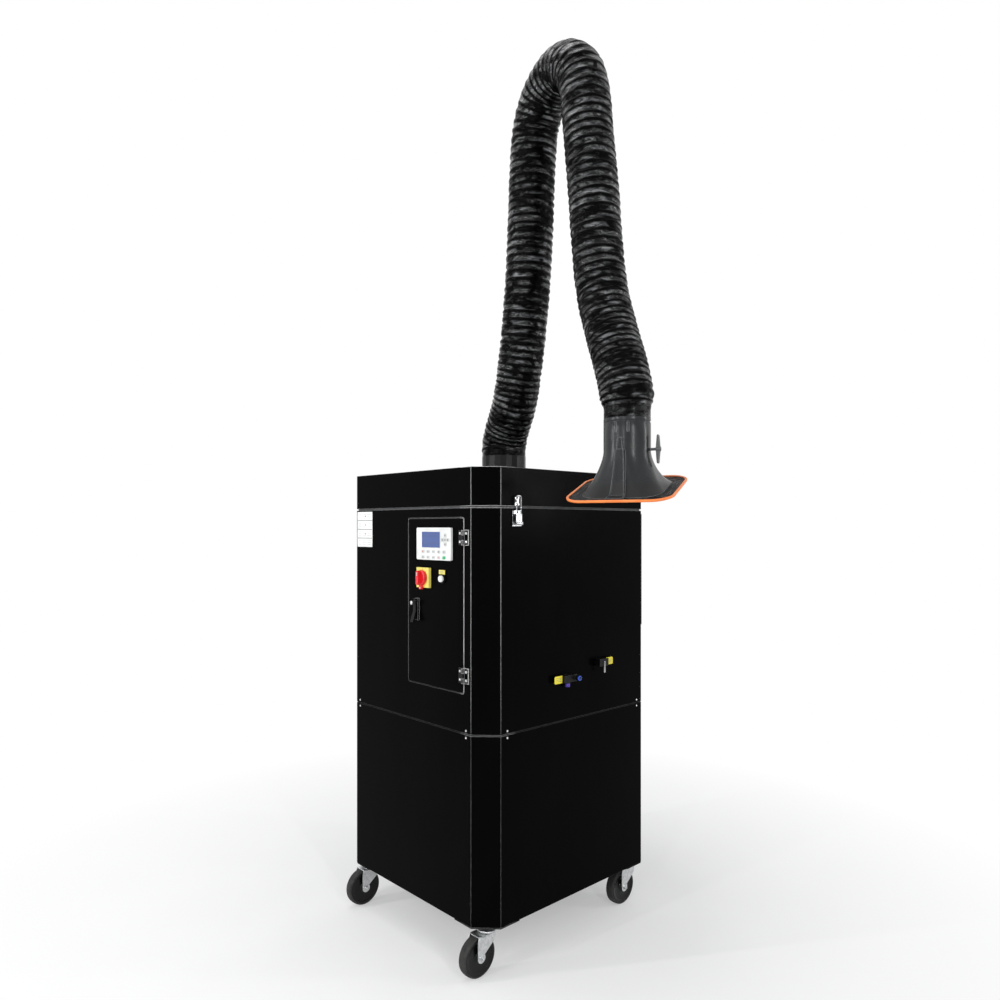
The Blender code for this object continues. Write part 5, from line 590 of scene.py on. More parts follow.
def hose_line():
    """Points along the hose's middle line with the length up to each."""
    points = [arm_point(*place) for place in HOSE_ROUTE]
    points = points[:1] + points + points[-1:]
    line = []
    for before, here, there, after in zip(points, points[1:], points[2:], points[3:]):
        leave, arrive = (there - before) / 2, (after - here) / 2
        for step in range(ROUTE_STEPS):
            t = step / ROUTE_STEPS
            line.append(
                here * (2 * t**3 - 3 * t**2 + 1) + leave * (t**3 - 2 * t**2 + t)
                + there * (3 * t**2 - 2 * t**3) + arrive * (t**3 - t**2)
            )
    line.append(points[-1])
    lengths = [0.0]
    for low, high in zip(line, line[1:]):
        lengths.append(lengths[-1] + (high - low).length)
    return line, lengths


HOSE_LINE, HOSE_LENGTHS = hose_line()
HOSE_TOTAL = HOSE_LENGTHS[-1]


def between(value, low, high):
    """0 at low, 1 at high, smooth in between."""
    share = min(max((value - low) / (high - low), 0.0), 1.0)
    return share * share * (3 - 2 * share)


def hose_at(length):
    """Centre and direction of the hose at a length along it."""
    index = min(max(bisect.bisect_left(HOSE_LENGTHS, length), 1), len(HOSE_LENGTHS) - 1)
    share = (length - HOSE_LENGTHS[index - 1]) / (HOSE_LENGTHS[index] - HOSE_LENGTHS[index - 1])
    share = min(max(share, 0.0), 1.0)

    def direction(n):
        low, high = max(n - 2, 0), min(n + 2, len(HOSE_LINE) - 1)
        return (HOSE_LINE[high] - HOSE_LINE[low]).normalized()

    centre = HOSE_LINE[index - 1].lerp(HOSE_LINE[index], share)
    return centre, direction(index - 1).lerp(direction(index), share).normalized()


def rib_table():
    """Length at every ring of every rib; the ribs are close at both ends and wider along the upper runs."""
    rows = [BASE_CUFF]
    while rows[-1] < HOSE_TOTAL - END_CUFF:
        wide = between(rows[-1], 0.16, 0.5) * (1 - between(rows[-1], HOSE_TOTAL - 0.55, HOSE_TOTAL - 0.2))
        rows.append(rows[-1] + (PITCH_SHORT + (PITCH_LONG - PITCH_SHORT) * wide) / RINGS_PER_RIB)
    stretch = (HOSE_TOTAL - END_CUFF - BASE_CUFF) / (rows[-1] - BASE_CUFF)
    return [BASE_CUFF + (row - BASE_CUFF) * stretch for row in rows]


RIB_ROWS = rib_table()
LAST_RIB_ROW = (len(RIB_ROWS) - 1) // RINGS_PER_RIB * RINGS_PER_RIB


def round_place(reach, angle, along):
    """A place in the noise that runs round the hose and along it."""
    return Vector((reach * math.cos(angle), reach * math.sin(angle), along))


def fold(angle, length):
    """Creases of the slack cloth, mostly round the hose and a little slanted, about -1 to 1."""
    slant = 0.35 * math.sin(angle + 5.1 * length) + 0.25 * math.sin(2 * angle - 8.3 * length)
    place = round_place(1.25, angle, 58 * length + slant * 2.0)
    first = noise.noise(place)
    second = noise.noise(place * 2.1 + Vector((7, 3, 1)))
    cross = noise.noise(round_place(4.5, angle, 30 * length + 11))
    return 0.62 * (0.55 - 2.0 * abs(first)) + 0.34 * (0.4 - 1.8 * abs(second)) + 0.34 * cross


def crest_of(share):
    """Height of the cloth over one rib's pitch: 0 in the valleys and 1 over the wire."""
    return (0.5 - 0.5 * math.cos(math.tau * share)) ** 1.3


def hose_ring(row, length):
    """One ring of points round the hose; row counts the rings of all ribs, or is None in a smooth cuff."""
    centre, along = hose_at(length)
    normal = ARM_SIDE.cross(along).normalized()
    taper = between(length, HOSE_TOTAL - 0.062, HOSE_TOTAL - END_CUFF)
    valley = HOSE_VALLEY + BASE_WIDER * (1 - between(length, 0.02, 0.14))
    valley += LOWER_RUN_WIDER * (1 - between(length, 1.05, 1.35))
    valley = valley * (1 - taper) + CUFF_RADIUS * taper
    ring = []
    for index in range(HOSE_AROUND):
        angle = math.tau * index / HOSE_AROUND
        radius = valley + 0.0006
        if row is not None:
            fade = between(min(row, LAST_RIB_ROW - row), 0, RINGS_PER_RIB * 1.5)
            share = (row % RINGS_PER_RIB) / RINGS_PER_RIB
            share += 0.05 * math.sin(angle + 0.7 * (row // RINGS_PER_RIB)) * math.sin(math.pi * share)
            crest = crest_of(share)
            slack = 1 - 0.7 * crest
            radius = valley + HOSE_RIB * crest * (1 - 0.5 * taper)
            radius += fade * FOLD_DEPTH * slack * fold(angle, length) * (1 - 0.6 * taper)
            radius += fade * 0.001 * noise.noise(round_place(2, angle, 9 * length))
        ring.append(centre + (ARM_SIDE * math.cos(angle) + normal * math.sin(angle)) * radius)
    return ring


def hose_piece(name, rows, head, tail):
    """A length of hose from rings at rows of the rib table, with smooth cuff rings before and after."""
    shape = bmesh.new()
    crest_layer = shape.verts.layers.float.new("rib")
    rings = [(None, length, 0.5) for length in head]
    rings += [(row, RIB_ROWS[row], crest_of(row % RINGS_PER_RIB / RINGS_PER_RIB)) for row in rows]
    rings += [(None, length, 0.5) for length in tail]
    loops = add_loft(shape, [hose_ring(row, length) for row, length, _ in rings], "open")
    for loop, (_, _, crest) in zip(loops, rings):
        for vertex in loop:
            vertex[crest_layer] = crest
    if head:
        lip = [hose_at(head[0])[0].lerp(vertex.co, 0.955) for vertex in loops[0]]
        bridge(shape, loop_of(shape, lip), loops[0])
    if tail:
        lip = [hose_at(tail[-1])[0].lerp(vertex.co, 0.93) for vertex in loops[-1]]
        bridge(shape, loops[-1], loop_of(shape, lip))
    return new_object(name, shape, "black_coated_fabric", 80)


def valley_row(length):
    """The rib table's row of the valley that is nearest to a length."""
    return min(range(0, len(RIB_ROWS), RINGS_PER_RIB), key=lambda row: abs(RIB_ROWS[row] - length))


def steps_between(start, end, step=0.003):
    count = max(2, round((end - start) / step))
    return [start + (end - start) * n / count for n in range(count + 1)]


def hose():
    """Five lengths of hose: base, lower run, elbow, outer run and cuff."""
    cuts = [valley_row(length) for length in (*HOSE_CUTS, HOSE_TOTAL - CUFF_LENGTH)] + [LAST_RIB_ROW]
    for (name, near, far, start, end, node), low, high in zip(HOSE_PIECES, [0] + cuts, cuts):
        head = steps_between(0.0, BASE_CUFF - 0.001) if low == 0 else ()
        tail = steps_between(RIB_ROWS[high] + 0.001, HOSE_TOTAL) if high == LAST_RIB_ROW else ()
        item = hose_piece(name, range(low, high + 1), head, tail)
        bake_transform(item)
        if node:
            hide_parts(node)


# Hood

HOOD_LONG = Vector((0.927836, 0.372988, 0))
HOOD_FAR = Vector((-0.372988, 0.927836, 0))
HOOD_PLACE = arm_point(0.743, 0)
NECK_RADIUS = 0.0667
NECK_SPIGOT = 0.0605
NECK_WALL = 0.003
NECK_STEP = 0.124
NECK_TOP = 0.145
FLARE_START = 0.03
RIM_DROP = 0.073
RIM_HALF_LENGTH = 0.15
RIM_HALF_WIDTH = 0.13
RIM_CORNER = 0.055
RIM_TILT = math.radians(17.6)
PLATEAU_START = 0.72
HOOD_AROUND = 128
HOOD_ANGLES = [math.tau * (index + 0.5) / HOOD_AROUND for index in range(HOOD_AROUND)]
FLARE_RINGS = 25
FIN_RINGS = 14
MARK_ANGLES = (-102.2, -71.8)
DAMPER_HEIGHT = 0.035
# (radius, height) down the outside of the neck
NECK_PROFILE = (
    (NECK_SPIGOT, NECK_TOP), (NECK_SPIGOT + 0.0006, NECK_STEP + 0.004), (NECK_SPIGOT + 0.0016, NECK_STEP + 0.001),
    (NECK_RADIUS - 0.0018, NECK_STEP), (NECK_RADIUS - 0.0004, NECK_STEP - 0.0008),
    (NECK_RADIUS, NECK_STEP - 0.0025), (NECK_RADIUS, NECK_STEP - 0.011), (NECK_RADIUS - 0.0007, NECK_STEP - 0.012),
    (NECK_RADIUS - 0.0007, NECK_STEP - 0.0135), (NECK_RADIUS, NECK_STEP - 0.0145), (NECK_RADIUS, 0.075),
    (NECK_RADIUS, 0.05),
)
# (inset, rise) round the bead of the rim's trim
BEAD_SECTION = (
    (0.001, 0.0026), (-0.0016, 0.003), (-0.0033, 0.002), (-0.0039, 0), (-0.0037, -0.0024), (-0.0026, -0.0042),
    (-0.0004, -0.005), (0.0018, -0.0043), (0.003, -0.003), (0.0034, -0.0006), (0.003, 0.0016),
)
# (height, rise, half width) down the fin's cap to the start of the flare
FIN_CAP = (
    (0.066, 0.001, 0.003), (0.0635, 0.0052, 0.0062), (0.056, 0.0075, 0.0078), (0.034, 0.009, 0.01),
    (0.0325, 0.0092, 0.0104), (0.0315, 0.0125, 0.0128),
)
# (height, half width, half thickness) up the damper's wing knob
WING_KNOB = (
    (-0.04, 0.008, 0.0018), (-0.037, 0.009, 0.0026), (-0.012, 0.0062, 0.0052), (0, 0.006, 0.0062),
    (0.012, 0.0062, 0.0052), (0.037, 0.009, 0.0026), (0.04, 0.008, 0.0018),
)


def hood_point(along, far, height):
    return HOOD_PLACE + HOOD_LONG * along + HOOD_FAR * far + UP * height


def flare_ring(share, inset=0.0, rise=0.0):
    """One ring of the flare: round at share 0, the tilted rounded rectangle of the rim at 1.

    From PLATEAU_START on it is the flat flange in the rim's plane.
    """
    blend = share**1.6
    fall = min(1.0, share / PLATEAU_START)
    fall += 0.08 * math.sin(math.pi * fall) * fall
    corner = (1 - blend) * NECK_RADIUS + blend * RIM_CORNER
    long = blend * (RIM_HALF_LENGTH - RIM_CORNER)
    wide = blend * (RIM_HALF_WIDTH - RIM_CORNER)
    tilt = fall * RIM_TILT
    height = (1 - fall) * FLARE_START - fall * RIM_DROP
    ring = []
    for angle in HOOD_ANGLES:
        cosine, sine = math.cos(angle), math.sin(angle)
        along = math.copysign(long, cosine) + (corner - inset) * cosine
        far = math.copysign(wide, sine) + (corner - inset) * sine
        flat = far * math.cos(tilt) - rise * math.sin(tilt)
        lift = far * math.sin(tilt) + rise * math.cos(tilt)
        ring.append(hood_point(along, flat, height + lift))
    return ring


def neck_ring(radius, height):
    return [hood_point(radius * math.cos(angle), radius * math.sin(angle), height) for angle in HOOD_ANGLES]


def add_mark(shape, angle):
    """A small raised upright pad on the neck."""
    radial = HOOD_LONG * math.cos(angle) + HOOD_FAR * math.sin(angle)
    place = HOOD_PLACE + radial * (NECK_RADIUS - 0.0012) + UP * 0.096
    for outline, rise in ((rounded(0.007, 0.03, 0.0022), 0.0024), (rounded(0.004, 0.024, 0.0015), 0.0031)):
        add_slab(shape, outline, place, UP.cross(radial), UP, radial * rise)


def fin_row(centre, out, rise, half):
    """One cross-section of the fin, from its sunk edge over both lips to the other sunk edge."""
    lip = min(0.0022, half * 0.4)
    points = []
    for side in (-1, 1):
        row = [
            centre - out * 0.002 + HOOD_LONG * (side * half * 1.04), centre + HOOD_LONG * (side * half) + out * rise,
            centre + HOOD_LONG * (side * (half - lip)) + out * (rise + 0.0006),
            centre + HOOD_LONG * (side * (half - lip * 1.7)) + out * (rise - 0.0016),
        ]
        points += row if side < 0 else list(reversed(row))
    return points


def add_fin(shape):
    """The fin on the near side: a narrow rounded cap, a step, then a channel that widens to its foot."""
    rows = [fin_row(hood_point(0, -NECK_RADIUS, height), -HOOD_FAR, rise, half) for height, rise, half in FIN_CAP]
    for step in range(1, FIN_RINGS + 1):
        share = step / FIN_RINGS
        ring = flare_ring(share)
        near = (ring[HOOD_AROUND * 3 // 4 - 1] + ring[HOOD_AROUND * 3 // 4]) / 2
        lean = between(share, 0.25, 1.0) * 0.95
        lifted = (-HOOD_FAR * (1 - lean) + UP * lean).normalized()
        centre = near - HOOD_FAR * (-0.0035 * share)
        rows.append(fin_row(centre, lifted, 0.0125 - 0.004 * share, 0.0128 + 0.0122 * share))
    add_loft(shape, rows)


def hood():
    shape = bmesh.new()
    rings = [neck_ring(*place) for place in NECK_PROFILE]
    rings += [flare_ring(step / FLARE_RINGS) for step in range(FLARE_RINGS + 1)]
    rings += [flare_ring(step / FLARE_RINGS, inset=NECK_WALL) for step in range(FLARE_RINGS, -1, -1)]
    rings += [neck_ring(NECK_RADIUS - NECK_WALL, NECK_STEP - NECK_WALL)]
    rings += [neck_ring(NECK_SPIGOT - NECK_WALL, NECK_STEP), neck_ring(NECK_SPIGOT - NECK_WALL, NECK_TOP)]
    add_loft(shape, rings, "joined")
    add_fin(shape)
    for degrees in MARK_ANGLES:
        add_mark(shape, math.radians(degrees))
    put("hood_skin", "hood_body", shape, "dark_grey_plastic", smooth=38, stands_for="hood")

    shape = bmesh.new()
    add_loft(shape, [flare_ring(1.0, inset=inset, rise=rise) for inset, rise in BEAD_SECTION], "joined")
    put("hood_trim_bead", "hood_body", shape, "orange_rubber", smooth=50, stands_for="hood_trim")


def damper():
    """Throttle disc on its spindle, and a wing knob that is thick at its hub and thin at its tips."""
    shape = bmesh.new()
    middle = hood_point(0, 0, DAMPER_HEIGHT)
    add_lathe(shape, [(0.0607, -0.00125), (0.0607, 0.00125)], middle, UP, 72)
    add_lathe(shape, [(0.004, 0), (0.004, 0.151), (0.0034, 0.152)], middle - HOOD_LONG * 0.0668, HOOD_LONG, 24)
    add_lathe(
        shape, [(0.005, 0), (0.0075, 0.0008), (0.0078, 0.009), (0.0068, 0.0136), (0.004, 0.0146)],
        middle + HOOD_LONG * 0.0826, HOOD_LONG, 40,
    )
    rings = []
    for height, half, thick in WING_KNOB:
        place = middle + HOOD_LONG * 0.089 + UP * height
        rings.append([
            place + HOOD_FAR * (half * far) + HOOD_LONG * (thick * along)
            for far, along in ((0.8, 1), (1, 0), (0.8, -1), (-0.8, -1), (-1, 0), (-0.8, 1))
        ])
    add_loft(shape, rings)
    put("damper_and_knob", "damper_body", shape, "knob", soft=0.0006, stands_for="damper")


# Casters

WHEEL_RADIUS = 0.0625
AXLE_SETBACK = 0.04
LEG_INSIDE = 0.02
LEG_ROUND = 0.015
LEG_STEPS = 14
RACEWAY = (
    (0.023, 0.127), (0.0275, 0.1278), (0.03, 0.13), (0.0305, 0.133), (0.029, 0.1352), (0.02, 0.1362),
)
HALF_TREAD = (
    (0.0622, 0.006), (0.0618, 0.0096), (0.061, 0.0128), (0.059, 0.0148), (0.0545, 0.0152), (0.049, 0.0146),
)
HALF_HUB = (
    (0.05, 0.0148), (0.047, 0.0136), (0.044, 0.0128), (0.024, 0.0122), (0.02, 0.0128), (0.017, 0.0158),
    (0.013, 0.0182), (0.006, 0.0186),
)
HUB_RIM = ((0.0475, 0.014), (0.05, 0.0153), (0.0556, 0.0157), (0.056, 0.015), (0.05, 0.014))
NIPPLE = ((0.0034, 0), (0.0034, 0.0014), (0.0018, 0.0022), (0.0018, 0.0052), (0.0024, 0.0058), (0.002, 0.0074))


def add_yoke_leg(shape, axle, side):
    """One leg of a pressed fork with its bolt: broad under the crown, tapering to a round end about the axle."""
    outline = [(0.015, 0.064), (0.015, 0.05), (0.012, 0.04)]
    for step in range(LEG_STEPS + 1):
        angle = math.radians(35 - 215 * step / LEG_STEPS)
        outline.append((-AXLE_SETBACK + LEG_ROUND * math.cos(angle), LEG_ROUND * math.sin(angle)))
    outline += [(-0.055, 0.048), (-0.053, 0.056), (-0.05, 0.064)]
    place = axle + Vector((side * LEG_INSIDE, AXLE_SETBACK, 0))
    out = X_AXIS * side
    add_slab(shape, outline, place, Y_AXIS, UP, out * 0.003)
    add_lathe(shape, [(0.0078, 0), (0.0078, 0.0012)], axle + out * 0.023, out, 32)
    add_slab(shape, polygon(6, 0.0064), axle + out * 0.0242, Y_AXIS, UP, out * 0.0052)
    add_lathe(shape, [(0.0034, 0), (0.0034, 0.0026), (0.0026, 0.0034)], axle + out * 0.0294, out, 20)


def caster(corner):
    """A swivel caster: pressed zinc fork with raceway, axle bolt and a rubber-tyred wheel."""
    axle = middle_of("caster_wheel_" + corner)
    axle.z = WHEEL_RADIUS
    middle = Vector((axle.x, axle.y + AXLE_SETBACK, 0))
    body = "fork_" + corner
    shape = bmesh.new()
    for side in (-1, 1):
        add_yoke_leg(shape, axle, side)
    crown = middle + Vector((0, -0.014, 0.1238))
    add_slab(shape, rounded(0.046, 0.073, 0.01), crown, X_AXIS, Y_AXIS, UP * 0.0034)
    add_lathe(shape, RACEWAY, middle, UP, 56)
    put(body + "_yoke", body, shape, "galvanised_steel", soft=0.0009, stands_for="caster_" + body)

    body = "wheel_" + corner
    shape = bmesh.new()
    tread = [*mirrored(HALF_TREAD), (WHEEL_RADIUS, 0), *HALF_TREAD, (0.048, 0)]
    add_lathe(shape, tread, axle, X_AXIS, 96, "joined")
    put(body + "_tyre", body, shape, "grey_tyre_rubber", smooth=50, stands_for="caster_" + body)
    shape = bmesh.new()
    add_lathe(shape, [*mirrored(HALF_HUB), *HALF_HUB], axle, X_AXIS, 72, "joined")
    for side in (-1, 1):
        add_lathe(shape, [(radius, side * along) for radius, along in HUB_RIM], axle, X_AXIS, 72, "joined")
    put(body + "_hub", body, shape, "hub", soft=0.0006)
    shape = bmesh.new()
    for side in (-1, 1):
        seat = axle + X_AXIS * (side * 0.012) + Vector((0, -0.006, 0.03))
        add_lathe(shape, NIPPLE, seat, X_AXIS * side, 20)
    put(body + "_nipple", body, shape, "screw")


# Control door

KEYPAD_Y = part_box("display_frame")[0].y
SWITCH = middle_of("isolator_plate")
PLATE_LOW, PLATE_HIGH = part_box("isolator_plate")
BUTTON = middle_of("push_button")
UNIT_PLACE = (0.1416, 1.309)
SCREEN_PLACE = (0.1276, 1.322)
ARROW_PLACE = (0.2016, 1.322)
ARROW_STEP = 0.01375
KEY_ROWS = (1.284, 1.266)
KEY_STEP = 0.027
KEY_RISE = 0.0011
ARROW_RISE = 0.001
PRINT = 0.00015
LEGEND_RISE = 0.0205
LOCK_PLACE = (0.047, 1.117)
HINGE_PIN_X = 0.282
HINGE_FACE = -0.4128
SWITCH_DIAL = (
    (0.024, 0), (0.024, 0.008), (0.0234, 0.0105), (0.0215, 0.0118), (0.019, 0.0118), (0.0176, 0.0104),
    (0.0165, 0.008), (0.003, 0.0076),
)
SWITCH_RING = ((0.0262, 0), (0.029, 0), (0.029, 0.001), (0.0276, 0.0016), (0.0262, 0.001))
BUTTON_CAP = ((0.0104, 0), (0.0104, 0.0042), (0.0099, 0.0052), (0.009, 0.0057), (0.007, 0.0052), (0.003, 0.005))
BUTTON_RING = ((0.0112, 0), (0.0146, 0), (0.0146, 0.003), (0.0138, 0.005), (0.0124, 0.0062), (0.0112, 0.0058))


def front_slab(shape, outline, x, z, y, thickness):
    """A slab parallel to the front whose back lies at y; it rises towards the viewer."""
    add_slab(shape, outline, Vector((x, y, z)), X_AXIS, UP, OUT_FRONT * thickness)


def front_lathe(shape, profile, x, z, y, segments, ends="capped"):
    add_lathe(shape, profile, Vector((x, y, z)), OUT_FRONT, segments, ends)


def front_ring(outline, x, z, y):
    return [Vector((x + across, y, z + up)) for across, up in outline]


def key_faces():
    """Printed foil keys: raised pads, each with a small printed mark."""
    pads, marks, green, pink, dark = new_shapes(5)
    top = KEYPAD_Y - 0.0001
    face = top - KEY_RISE
    for row, z in enumerate(KEY_ROWS):
        for column in range(5):
            x = UNIT_PLACE[0] + (column - 2) * KEY_STEP
            key = green if (row, column) == (1, 4) else pads
            front_slab(key, rounded(0.0135, 0.0098, 0.0022), x, z, top, KEY_RISE)
            symbol = pink if (row, column) in ((0, 0), (1, 3)) else marks
            if (row + column) % 3 == 0:
                front_slab(symbol, polygon(24, 0.0026), x, z, face, PRINT)
            elif (row + column) % 3 == 1:
                for shift in (-0.0018, 0, 0.0018):
                    front_slab(symbol, rounded(0.0064, 0.0009, 0.0003), x, z + shift, face, PRINT)
            else:
                front_slab(symbol, rounded(0.0056, 0.0016, 0.0005), x, z, face, PRINT)
                front_slab(symbol, rounded(0.0016, 0.0056, 0.0005), x, z, face, 0.0002)
    face = top - ARROW_RISE
    for step_x, step_z, turn in ((0, 1, 90), (0, -1, 270), (1, 0, 0), (-1, 0, 180)):
        x, z = ARROW_PLACE[0] + step_x * ARROW_STEP, ARROW_PLACE[1] + step_z * ARROW_STEP
        front_slab(pads, rounded(0.0125, 0.0125, 0.0026), x, z, top, ARROW_RISE)
        front_slab(dark, polygon(3, 0.0038, math.radians(turn)), x, z, face, 0.0002)
    front_slab(pads, polygon(28, 0.0052), *ARROW_PLACE, top, ARROW_RISE)
    front_slab(dark, polygon(20, 0.002), *ARROW_PLACE, face, 0.0002)
    for name, shape, finish, soft in (
        ("keys", pads, "pale", 0.0004), ("key_marks", marks, "grey", 0), ("arrow_marks", dark, "dark", 0),
        ("start_key", green, "green", 0.0004), ("key_accents", pink, "pink", 0),
    ):
        put("panel_" + name, "front_door", shape, finish, soft)


def unit_details():
    """The rims of the control unit's cover and window, and the window with its lines."""
    shape, window, lines = new_shapes(3)
    outer, inner = rounded(0.1748, 0.1028, 0.005), rounded(0.165, 0.093, 0.0035)
    add_loft(shape, [
        front_ring(outline, *UNIT_PLACE, KEYPAD_Y + 0.0004 - rise)
        for outline, rise in ((outer, 0), (outer, 0.0009), (inner, 0.0009), (inner, -0.0002))
    ], "joined")
    add_loft(shape, [
        front_ring(rounded(wide, tall, 0.003), *SCREEN_PLACE, KEYPAD_Y + 0.0003 - rise)
        for wide, tall, rise in ((0.101, 0.057, 0), (0.1, 0.056, 0.0007), (0.0955, 0.0515, 0.0007),
                                 (0.094, 0.05, -0.001))
    ], "joined")
    put("panel_frame_rims", "front_door", shape, "white_plastic", soft=0.0003)
    front_slab(window, rounded(0.0936, 0.0496, 0.002), *SCREEN_PLACE, KEYPAD_Y + 0.0015, 0.0005)
    put("panel_window", "front_door", window, "blue_screen")
    for shift in (0.0115, -0.0115):
        front_slab(lines, rounded(0.092, 0.0006, 0.0002), SCREEN_PLACE[0], SCREEN_PLACE[1] + shift,
                   KEYPAD_Y + 0.001, 0.0001)
    put("panel_window_lines", "front_door", lines, "dark")


def main_switch():
    """Red rotary handle with a recessed grip and a padlock tab, over its plate."""
    handle, pale, plate, dark = new_shapes(4)
    x, z, top = SWITCH.x, SWITCH.z, PLATE_LOW.y
    back = top - 0.0003
    front_lathe(handle, SWITCH_DIAL, x, z, back, 72)
    front_slab(handle, rounded(0.012, 0.046, 0.005), x, z, back - 0.005, 0.0185)
    front_slab(handle, rounded(0.014, 0.02, 0.004), x, z - 0.0275, back - 0.0005, 0.0095)
    put("switch_handle", "isolator", handle, "red_plastic", soft=0.0012, stands_for="isolator_handle")
    front_lathe(pale, [(0.0026, 0), (0.0026, 0.0003)], x, z - 0.0325, back - 0.0101, 24)
    front_slab(pale, rounded(0.0022, 0.012, 0.001), x, z + 0.012, back - 0.02345, 0.0002)
    put("switch_handle_marks", "isolator", pale, "pale")
    front_lathe(plate, SWITCH_RING, x, z, top + 0.0001, 72, "joined")
    for across, up in ((-1, -1), (-1, 1), (1, -1), (1, 1)):
        front_lathe(plate, [(0.0026, 0), (0.0026, 0.0006), (0.002, 0.0008)], x + across * 0.0262, z + up * 0.0262,
                    top + 0.0001, 24)
    put("switch_plate_details", "front_door", plate, "yellow_plastic")
    front_slab(dark, polygon(3, 0.0015, math.radians(90)), x, z + 0.0296, top, PRINT)
    front_slab(dark, polygon(3, 0.0015), x + 0.0296, z, top, PRINT)
    put("switch_plate_marks", "front_door", dark, "dark")


def push_button():
    """White button in a black bezel, with a yellow legend above it."""
    cap, ring, legend, lines = new_shapes(4)
    x, z = BUTTON.x, BUTTON.z
    front_lathe(cap, BUTTON_CAP, x, z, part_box("push_button")[0].y + 0.0055, 56)
    put("button_cap", "button", cap, "white_plastic")
    front_lathe(ring, BUTTON_RING, x, z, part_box("button_bezel")[0].y + 0.006, 64, "joined")
    put("button_ring", "front_door", ring, "black_plastic")
    front_slab(legend, rounded(0.0296, 0.0136, 0.0012), x, z + LEGEND_RISE, FRONT - 0.003, 0.0015)
    put("button_legend", "front_door", legend, "yellow_plastic", soft=0.0003)
    for shift in (-0.0022, 0.0022):
        front_slab(lines, rounded(0.017, 0.0011, 0.0004), x, z + LEGEND_RISE + shift, FRONT - 0.0045, 0.0001)
    put("button_legend_lines", "front_door", lines, "grey")


def door_lock():
    """Bright key cylinder at the head of the black swing lever."""
    cylinder, keyway = new_shapes(2)
    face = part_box("lock_lever")[0].y
    profile = [(0.0062, -0.0008), (0.0062, 0.0004), (0.0054, 0.001), (0.003, 0.001)]
    front_lathe(cylinder, profile, *LOCK_PLACE, face, 40)
    put("lock_cylinder", "lock", cylinder, "screw")
    front_slab(keyway, rounded(0.0012, 0.0066, 0.0004), *LOCK_PLACE, face - 0.001, 0.0001)
    put("lock_keyway", "lock", keyway, "dark")


def hinge_screws():
    """Two screws in each leaf of the two door hinges, two leaves on the door and two on the cabinet."""
    leaves = [middle_of("door_hinge_leaf_" + leaf).z for leaf in ("lower", "upper")]
    heights = [height + shift for height in leaves for shift in (-0.013, 0.013)]
    for x, name, body in ((HINGE_PIN_X - 0.01395, "door", "front_door"), (HINGE_PIN_X + 0.01395, "cabinet", "cabinet")):
        put_screws("hinge_screws_" + name, body, [((x, HINGE_FACE, z), OUT_FRONT) for z in heights], 0.0034, 0.001)


def switch_body_cover():
    """Black housing over the switch's body behind the door."""
    shape = bmesh.new()
    start, end = FRONT + 0.0008, PLATE_HIGH.y + 0.0006
    outer, inner = rounded(0.0474, 0.0474, 0.002), rounded(0.0462, 0.0462, 0.0012)
    sections = ((inner, start), (outer, start), (outer, end))
    rings = [front_ring(outline, SWITCH.x, SWITCH.z, y) for outline, y in sections]
    shape.faces.new(add_loft(shape, rings, "open")[-1])
    put("switch_body_cover", "front_door", shape, "black_plastic", soft=0.0008)


# Data plate and fittings

DATA_X = -0.2625
DATA_TOP = 1.416
DATA_ROW = 0.031
SEAM_SCREW = 0.0105
# (y, z) of the air fittings' yellow tags and nuts
TAGS = ((-0.1045, 0.872), (0.1485, 0.905))
NUTS = ((-0.058, 0.872), (0.11, 0.905))


def info_plate():
    """A plain pale data plate with ruled empty rows, riveted near the front's top left corner."""
    plate, lines, rivets, dots = new_shapes(4)
    face = FRONT - 0.0008
    front_slab(plate, rounded(0.095, 0.124, 0.002), DATA_X, DATA_TOP - 2 * DATA_ROW, FRONT, 0.0008)
    put("data_plate", "cabinet", plate, "white_plastic", soft=0.0002)
    for step in range(1, 4):
        z = DATA_TOP - DATA_ROW * step
        front_slab(lines, rounded(0.09, 0.0026, 0.0003), DATA_X, z, face, 0.0001)
        front_lathe(dots, [(0.0026, 0), (0.0026, 0.0001), (0, 0.0001)], DATA_X + 0.004, z + DATA_ROW / 2,
                    face - 0.0001, 16)
    for step in range(4):
        z = DATA_TOP - DATA_ROW * (step + 0.5)
        for column, width in ((-30, 0.018), (-4, 0.022), (26, 0.024)):
            for shift in (-0.0062, 0, 0.0062):
                if (step + column) % 3 or shift:
                    front_slab(lines, rounded(width, 0.0007, 0.0002), DATA_X + column / 1000, z + shift, face, 0.0001)
    for x in (-0.3065, -0.2185):
        for z in (1.412, 1.296):
            front_lathe(rivets, [(0.0016, 0), (0.0016, 0.0003), (0.0008, 0.0007)], x, z, face, 16)
    put("data_plate_rules", "cabinet", lines, "grey")
    put("data_plate_dots", "cabinet", dots, "dark")
    put("data_plate_rivets", "cabinet", rivets, "screw")


def side_slab(shape, outline, x, y, z, thickness):
    """A slab parallel to the right side; its near face lies at x and it rises outward."""
    add_slab(shape, outline, Vector((x, y, z)), Y_AXIS, UP, X_AXIS * thickness)


